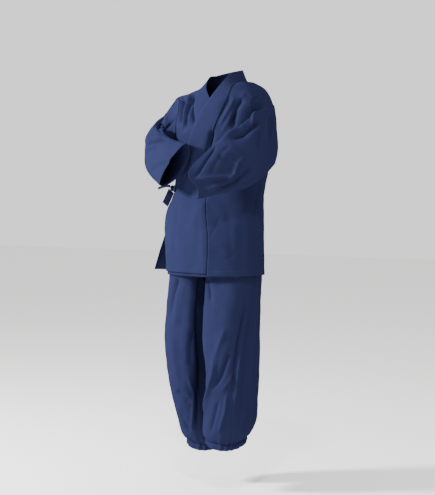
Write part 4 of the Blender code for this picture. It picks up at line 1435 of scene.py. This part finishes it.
    def band(self, table: tuple, at: Array, share: Array, raised: Form, turn: Array, back: bool) -> Array:
        """Place spots on the collar from one of its tables.

        Args:
            table: the half's stations.
            at: the places along it, from 0 to 1.
            share: the shares of the way from the seam to the free edge.
            raised: the lift of what the band lies on.
            turn: 1 on the wearer's left and -1 on the right.
            back: whether the stations are round the back of the neck.

        Returns:
            The spots.
        """
        seam_angle, seam_height, free_angle, free_height, rise = read_table(table, at)
        angle = turn * blend(seam_angle, free_angle, share)
        height = blend(seam_height, free_height, share)
        angle = 180 - angle if back else angle
        swell = self.band_swell * np.sin(math.pi * np.clip(share, 0, 1))
        sewn = self.seam_press * ease((self.press_reach - share) / (self.press_reach + self.lap_share))
        lift = raised(angle, height) + self.form.band_lift + swell - sewn
        spots = self.form.spot(angle, height, lift)
        spots[..., 2] += rise * np.maximum(0.0, share) ** self.rise_power
        return spots

    def make_collar(self) -> bpy.types.Object:
        """Make the collar in one length: its upper half, round the neck, and its under half.

        Returns:
            The collar.
        """

        def place(across: Array, along: Array) -> Array:
            """Place the collar.

            Args:
                across: the shares of its length.
                along: the shares of its width, from its seam.

            Returns:
                Its spots.
            """
            share = blend(-self.lap_share, 1.0, along)
            upper_at = np.clip(across / self.upper_share, 0, 1)
            upper = self.band(UPPER_BAND, upper_at, share, self.form.lap, 1.0, False)
            part = np.clip((across - self.upper_share) / self.neck_share, 0, 1) * 2
            turn = np.where(part <= 1, 1.0, -1.0)
            neck_at = np.where(part <= 1, part, 2 - part)
            neck = self.band(BACK_BAND, neck_at, share, self.form.no_lap, turn, True)
            last = 1 - self.upper_share - self.neck_share
            under_at = 1 - np.clip((across - self.upper_share - self.neck_share) / last, 0, 1)
            under = self.band(UNDER_BAND, under_at, share, self.form.no_lap, 1.0, False)
            first = (across <= self.upper_share)[..., None]
            second = (across <= self.upper_share + self.neck_share)[..., None]
            return np.where(first, upper, np.where(second, neck, under))

        seams = tuple(Stitch(False, distance) for distance in self.collar_stitches)
        cut = Cut("collar", 1.26, 0.062, 300, 16, wall=self.band_wall, rests_on=("left_front", "right_front"))
        return sew(cut, place, seams)


@dataclass
class Sleeve:
    """One sleeve, a tube folded at the top, with a turned hem at its open cuff."""

    form: SleeveForm
    node: str
    hem_depth: float = 0.030

    def make(self) -> list[bpy.types.Object]:
        """Make the sleeve.

        Returns:
            Its one piece.
        """

        def place(across: Array, along: Array) -> Array:
            """Return the sleeve's spots at shares round it and along it."""
            turn = across if self.form.side > 0 else 1 - across
            return self.form.spot(turn, blend(self.form.start, 1.0, along))

        cut = Cut(self.node, 0.47, 0.40, 170, 140, tube=True, rests_on=("left_front",))
        return [sew(cut, place, (Stitch(False, -self.hem_depth),))]


@dataclass
class Tie:
    """The outer tie at the wearer's right side: its strap, its knot, a loop and a free end.

    The paths of the loop and the end are measured aside and down from the knot, as the photo shows them.
    """

    form: BodyForm
    wall: float = 0.002
    width: float = 0.026
    height: float = -0.402
    inner_angle: float = -52.0
    knot_angle: float = -76.0
    lift: float = 0.0126
    waist_middle: tuple[float, float] = (-0.015, -0.031)
    knot_size: tuple[float, float, float] = (0.030, 0.016, 0.026)
    knot_clearance: float = 0.0012
    knot_cuts: int = 11
    knot_radius: float = 0.42
    turn_height: float = 0.05
    turn_rates: tuple[float, float] = (30.0, 12.0)
    hang_reach: float = 0.006
    loop_path: tuple = ((0.005, 0.0095), (0.012, 0.026), (0.022, 0.048), (0.027, 0.058))
    loop_depth: float = 0.012
    loop_slant: tuple[float, float] = (0.75, 0.66)
    end_path: tuple = ((0.008, -0.006), (0.026, -0.007), (0.054, 0.002))
    end_tilt: float = math.radians(20)

    def make(self) -> list[bpy.types.Object]:
        """Make the tie's pieces."""
        return [self.make_strap(), self.make_loop(), self.make_end(), self.make_knot()]

    def knot_spot(self) -> Array:
        """Return where the knot lies on the strap."""
        lift = self.lift + self.wall + self.knot_clearance
        return self.form.spot(np.array(self.knot_angle), np.array(self.height), lift)

    def outward(self) -> Array:
        """Return the direction from the waist's middle out through the knot."""
        return unit(self.knot_spot() - np.array((*self.waist_middle, self.height)))

    def hang(self, path: tuple) -> list[Array]:
        """Return the spots of a path that hangs from the knot."""
        start = self.knot_spot() + self.outward() * self.hang_reach
        return [start - Eye(Side.PHOTO).axes()[0] * aside + DOWN * drop for aside, drop in path]

    def make_strap(self) -> bpy.types.Object:
        """Make the flat strap that comes out from under the upper front.

        Returns:
            The strap.
        """

        def place(across: Array, along: Array) -> Array:
            """Return the strap's spots at shares of its length and width."""
            angle = blend(self.inner_angle, self.knot_angle, 1 - across)
            return self.form.spot(angle, self.height + self.width * (along - 0.5), self.lift)

        return sew(Cut("tie_strap", 0.056, self.width, 24, 12, wall=self.wall), place)

    def ribbon(self, path: Sequence[Array], width_line: Array) -> Place:
        """Lay a flat tie along a path.

        Args:
            path: the spots of its middle line.
            width_line: its width and its direction.

        Returns:
            The function that places the tie.
        """
        table = [(float(at), *spot) for at, spot in enumerate(path)]

        def place(across: Array, along: Array) -> Array:
            """Return the tie's spots at shares of its length and width."""
            centre = np.moveaxis(read_table(table, across * (len(path) - 1)), 0, -1)
            return centre + width_line * (along - 0.5)[..., None]

        return place

    def make_loop(self) -> bpy.types.Object:
        """Make the bow's hanging loop.

        Returns:
            The loop.
        """
        across_view, _, away = Eye(Side.PHOTO).axes()
        outer = self.hang(self.loop_path)
        inner = [spot + away * self.loop_depth for spot in reversed(outer)]
        broad = unit(across_view * self.loop_slant[0] + DOWN * self.loop_slant[1]) * self.width
        cut = Cut("tie_loop", 0.125, self.width, 60, 12, wall=self.wall, hold=Hold.FOLDED)
        return sew(cut, self.ribbon(outer + inner, broad))

    def make_end(self) -> bpy.types.Object:
        """Make the tie's free end, which is seen almost edge-on.

        Returns:
            The end.
        """
        away = Eye(Side.PHOTO).axes()[2]
        edge_on = DOWN * math.sin(self.end_tilt) - away * math.cos(self.end_tilt)
        cut = Cut("tie_end", 0.048, self.width, 24, 12, wall=self.wall)
        return sew(cut, self.ribbon(self.hang(self.end_path), edge_on * self.width))

    def make_knot(self) -> bpy.types.Object:
        """Make the knot, a soft lump with the tie's turns across it.

        Returns:
            The knot.
        """
        mesh = bpy.data.meshes.new("tie_knot_cloth")
        lump = bmesh.new()
        bmesh.ops.create_cube(lump, size=1.0)
        bmesh.ops.subdivide_edges(lump, edges=lump.edges, cuts=self.knot_cuts, use_grid_fill=True)
        out = Vector(self.outward())
        turn = out.to_track_quat("Y", "Z")
        centre = Vector(self.knot_spot()) + out * self.knot_size[1] * self.knot_radius
        size = Vector(self.knot_size)
        for vertex in lump.verts:
            spot = vertex.co * (self.knot_radius / max(vertex.co.length, self.knot_radius))
            ridge = 1 + self.turn_height * math.sin(spot.x * self.turn_rates[0] + spot.z * self.turn_rates[1])
            vertex.co = turn @ Vector([part * side * ridge for part, side in zip(spot, size)]) + centre
        lump.to_mesh(mesh)
        lump.free()
        layer = mesh.uv_layers.new(name="cloth")
        for loop, data in zip(mesh.loops, layer.data):
            data.uv = mesh.vertices[loop.vertex_index].co.xz
        cotton = NavyTsumugiCotton("tie_knot_cotton").build(self.knot_size[0], self.knot_size[2])
        return dress("tie_knot", mesh, cotton)


@dataclass
class Trousers:
    """The trousers: four leg panels, the elastic waistband, and a frill below each leg's elastic."""

    body: BodyForm
    legs: tuple[LegForm, LegForm]
    waist: float = -0.425
    waistband_depth: float = 0.035
    waistband_inset: float = 0.0030
    waistband_gap: float = 0.0005
    band_wall: float = 0.0018
    ruffles: int = 46
    ruffle_height: float = 0.0004
    centre_angle: float = 0.15
    frill_drop: float = 0.026
    frill_slant: float = 0.22
    frill_wave: float = 0.0016
    seam_stitch: float = 0.0015
    waist_stitch: float = 0.006
    frill_stitch: float = 0.004

    def make(self) -> list[bpy.types.Object]:
        """Make the trousers' pieces.

        Returns:
            The pieces.
        """
        pieces = [self.make_waistband()]
        for leg in self.legs:
            pieces += [self.make_panel(leg, front) for front in (True, False)]
            pieces.append(self.make_frill(leg))
        return pieces

    def make_panel(self, leg: LegForm, front: bool) -> bpy.types.Object:
        """Make one leg panel, from the elastic of its hem to the waistband.

        Args:
            leg: the leg's form.
            front: whether it is the front panel.

        Returns:
            The panel.
        """

        def place(across: Array, along: Array) -> Array:
            """Place the panel.

            Args:
                across: the shares across it.
                along: the shares along it.

            Returns:
                Its spots.
            """
            level = blend(leg.rings[0].level, leg.top, along)
            inner = leg.rise_angle(level)
            share = across if leg.side > 0 else 1 - across
            if front:
                return leg.panel(blend(-inner, 90, share), blend(self.centre_angle, 90, share), level)
            return leg.panel(blend(90, 180 + inner, share), blend(90, 180 - self.centre_angle, share), level)

        name = f"trouser_{'front' if front else 'back'}_{'left' if leg.side > 0 else 'right'}"
        columns, rows = (100, 240) if front else (60, 160)
        cut = Cut(name, 0.33, 0.88, columns, rows, area=0.245, hold=Hold.GATHERED, rests_on=("waistband",))
        return sew(cut, place, (Stitch(True, self.seam_stitch), Stitch(True, -self.seam_stitch)))

    def make_waistband(self) -> bpy.types.Object:
        """Make the elastic waistband, just inside the jacket's waist.

        Returns:
            The waistband.
        """

        def place(across: Array, along: Array) -> Array:
            """Place the waistband.

            Args:
                across: the shares round it.
                along: the shares up it.

            Returns:
                Its spots.
            """
            level = blend(self.waist - self.waistband_depth + self.waistband_gap, self.waist, along)
            ruffle = self.ruffle_height * np.sin(across * math.tau * self.ruffles) * np.sin(math.pi * along)
            return self.body.spot(across * 360 - 90, level, ruffle - self.waistband_inset)

        size = (0.94, self.waistband_depth, 240, 12)
        cut = Cut("waistband", *size, hold=Hold.GATHERED, wall=self.band_wall, tube=True)
        return sew(cut, place, (Stitch(False, self.waist_stitch), Stitch(False, -self.waist_stitch)))

    def make_frill(self, leg: LegForm) -> bpy.types.Object:
        """Make the frill below a leg's elastic, in waves.

        Args:
            leg: the leg's form.

        Returns:
            The frill.
        """
        ring = leg.rings[0]
        centre = np.array((ring.centre_x, ring.centre_y, 0.0))

        def place(across: Array, along: Array) -> Array:
            """Place the frill.

            Args:
                across: the shares round it.
                along: the shares up it.

            Returns:
                Its spots.
            """
            angle = across * 360 - 90
            slant = np.cos(np.radians(angle - leg.hem_low_angle))
            drop, wave, outward = read_table(FRILL_ROWS, along)
            spots = leg.flat(angle, np.full(angle.shape, ring.level))
            out = unit((spots - centre) * np.array((1.0, 1.0, 0.0)))
            shift = outward + leg.gathering(angle) * (leg.gather_height + self.frill_wave * wave)
            spots = spots + out * shift[..., None]
            spots[..., 2] -= drop * self.frill_drop * (1 - self.frill_slant + self.frill_slant * slant)
            return spots

        node = "cuff_left" if leg.side > 0 else "cuff_right"
        cut = Cut(node, 0.56, 0.028, 288, 14, hold=Hold.GATHERED, tube=True)
        return sew(cut, place, (Stitch(False, self.frill_stitch),))


@dataclass(frozen=True)
class Studio:
    """A plain pale floor, soft light and the camera at the photograph's angle."""

    floor_level: float = -1.5
    floor_reach: float = 14.0
    floor_colour: str = "#F4F4F3"
    floor_roughness: float = 0.9
    surround: float = 1.25
    surround_colour: str = "#FFFFFF"
    lamps: tuple[Lamp, ...] = (
        Lamp("key", 540.0, 0.6, (-2.9, -2.45, 1.0)),
        Lamp("top", 120.0, 0.4, (1.2, -2.7, 3.2)),
    )
    aim: tuple[float, float, float] = (0.0, -0.05, -0.55)
    lens: float = 107.6
    sensor: float = 36.0

    def lay_floor(self) -> None:
        """Lay the floor, which is smooth matt card."""
        mesh = bpy.data.meshes.new("floor")
        sheet = bmesh.new()
        bmesh.ops.create_grid(sheet, x_segments=1, y_segments=1, size=self.floor_reach)
        sheet.to_mesh(mesh)
        sheet.free()
        floor = bpy.data.objects.new("floor", mesh)
        floor.location.z = self.floor_level
        bpy.context.scene.collection.objects.link(floor)
        material = bpy.data.materials.new("pale_floor")
        material.use_nodes = True
        shader = material.node_tree.nodes["Principled BSDF"]
        shader.inputs["Base Color"].default_value = linear(self.floor_colour)
        shader.inputs["Roughness"].default_value = self.floor_roughness
        mesh.materials.append(material)

    def light(self) -> None:
        """Light the studio: a pale surround, a key lamp at the picture's left, and a smaller one high up."""
        world = bpy.data.worlds.new("surround")
        world.use_nodes = True
        shader = world.node_tree.nodes["Background"]
        shader.inputs["Color"].default_value = linear(self.surround_colour)
        shader.inputs["Strength"].default_value = self.surround
        bpy.context.scene.world = world
        for lamp in self.lamps:
            light = bpy.data.lights.new(lamp.name, "AREA")
            light.energy = lamp.power
            light.size = lamp.size
            stand = bpy.data.objects.new(lamp.name, light)
            stand.location = lamp.place
            aim = Vector(self.aim) - Vector(lamp.place)
            stand.rotation_euler = aim.to_track_quat("-Z", "Y").to_euler()
            bpy.context.scene.collection.objects.link(stand)

    def set_camera(self) -> None:
        """Set the camera."""
        eye = Eye(Side.PHOTO)
        camera = bpy.data.objects.new("camera", bpy.data.cameras.new("camera"))
        camera.data.lens = self.lens
        camera.data.sensor_width = self.sensor
        camera.location = eye.place()
        camera.rotation_euler = Vector(eye.axes()[2]).to_track_quat("-Z", "Y").to_euler()
        bpy.context.scene.collection.objects.link(camera)
        bpy.context.scene.camera = camera


def main() -> None:
    """Set the studio, then make the jacket, its sleeves, the tie and the trousers."""
    logging.basicConfig(level=logging.INFO, format="%(message)s")
    studio = Studio()
    studio.set_camera()
    studio.lay_floor()
    studio.light()
    body = BodyForm()
    legs = (LegForm(Cloth.LEFT_LEG, 1, LEFT_LEG, body), LegForm(Cloth.RIGHT_LEG, -1, RIGHT_LEG, body))
    garment = (
        Jacket(body),
        Sleeve(SleeveForm(Cloth.LEFT_SLEEVE, 1, LEFT_SLEEVE, body), "left_sleeve"),
        Sleeve(SleeveForm(Cloth.RIGHT_SLEEVE, -1, RIGHT_SLEEVE, body), "right_sleeve"),
        Tie(body),
        Trousers(body, legs),
    )
    for part in garment:
        for piece in part.make():
            LOG.info("%s: %d faces", piece.name, len(piece.data.polygons))


if __name__ == "__main__":
    main()
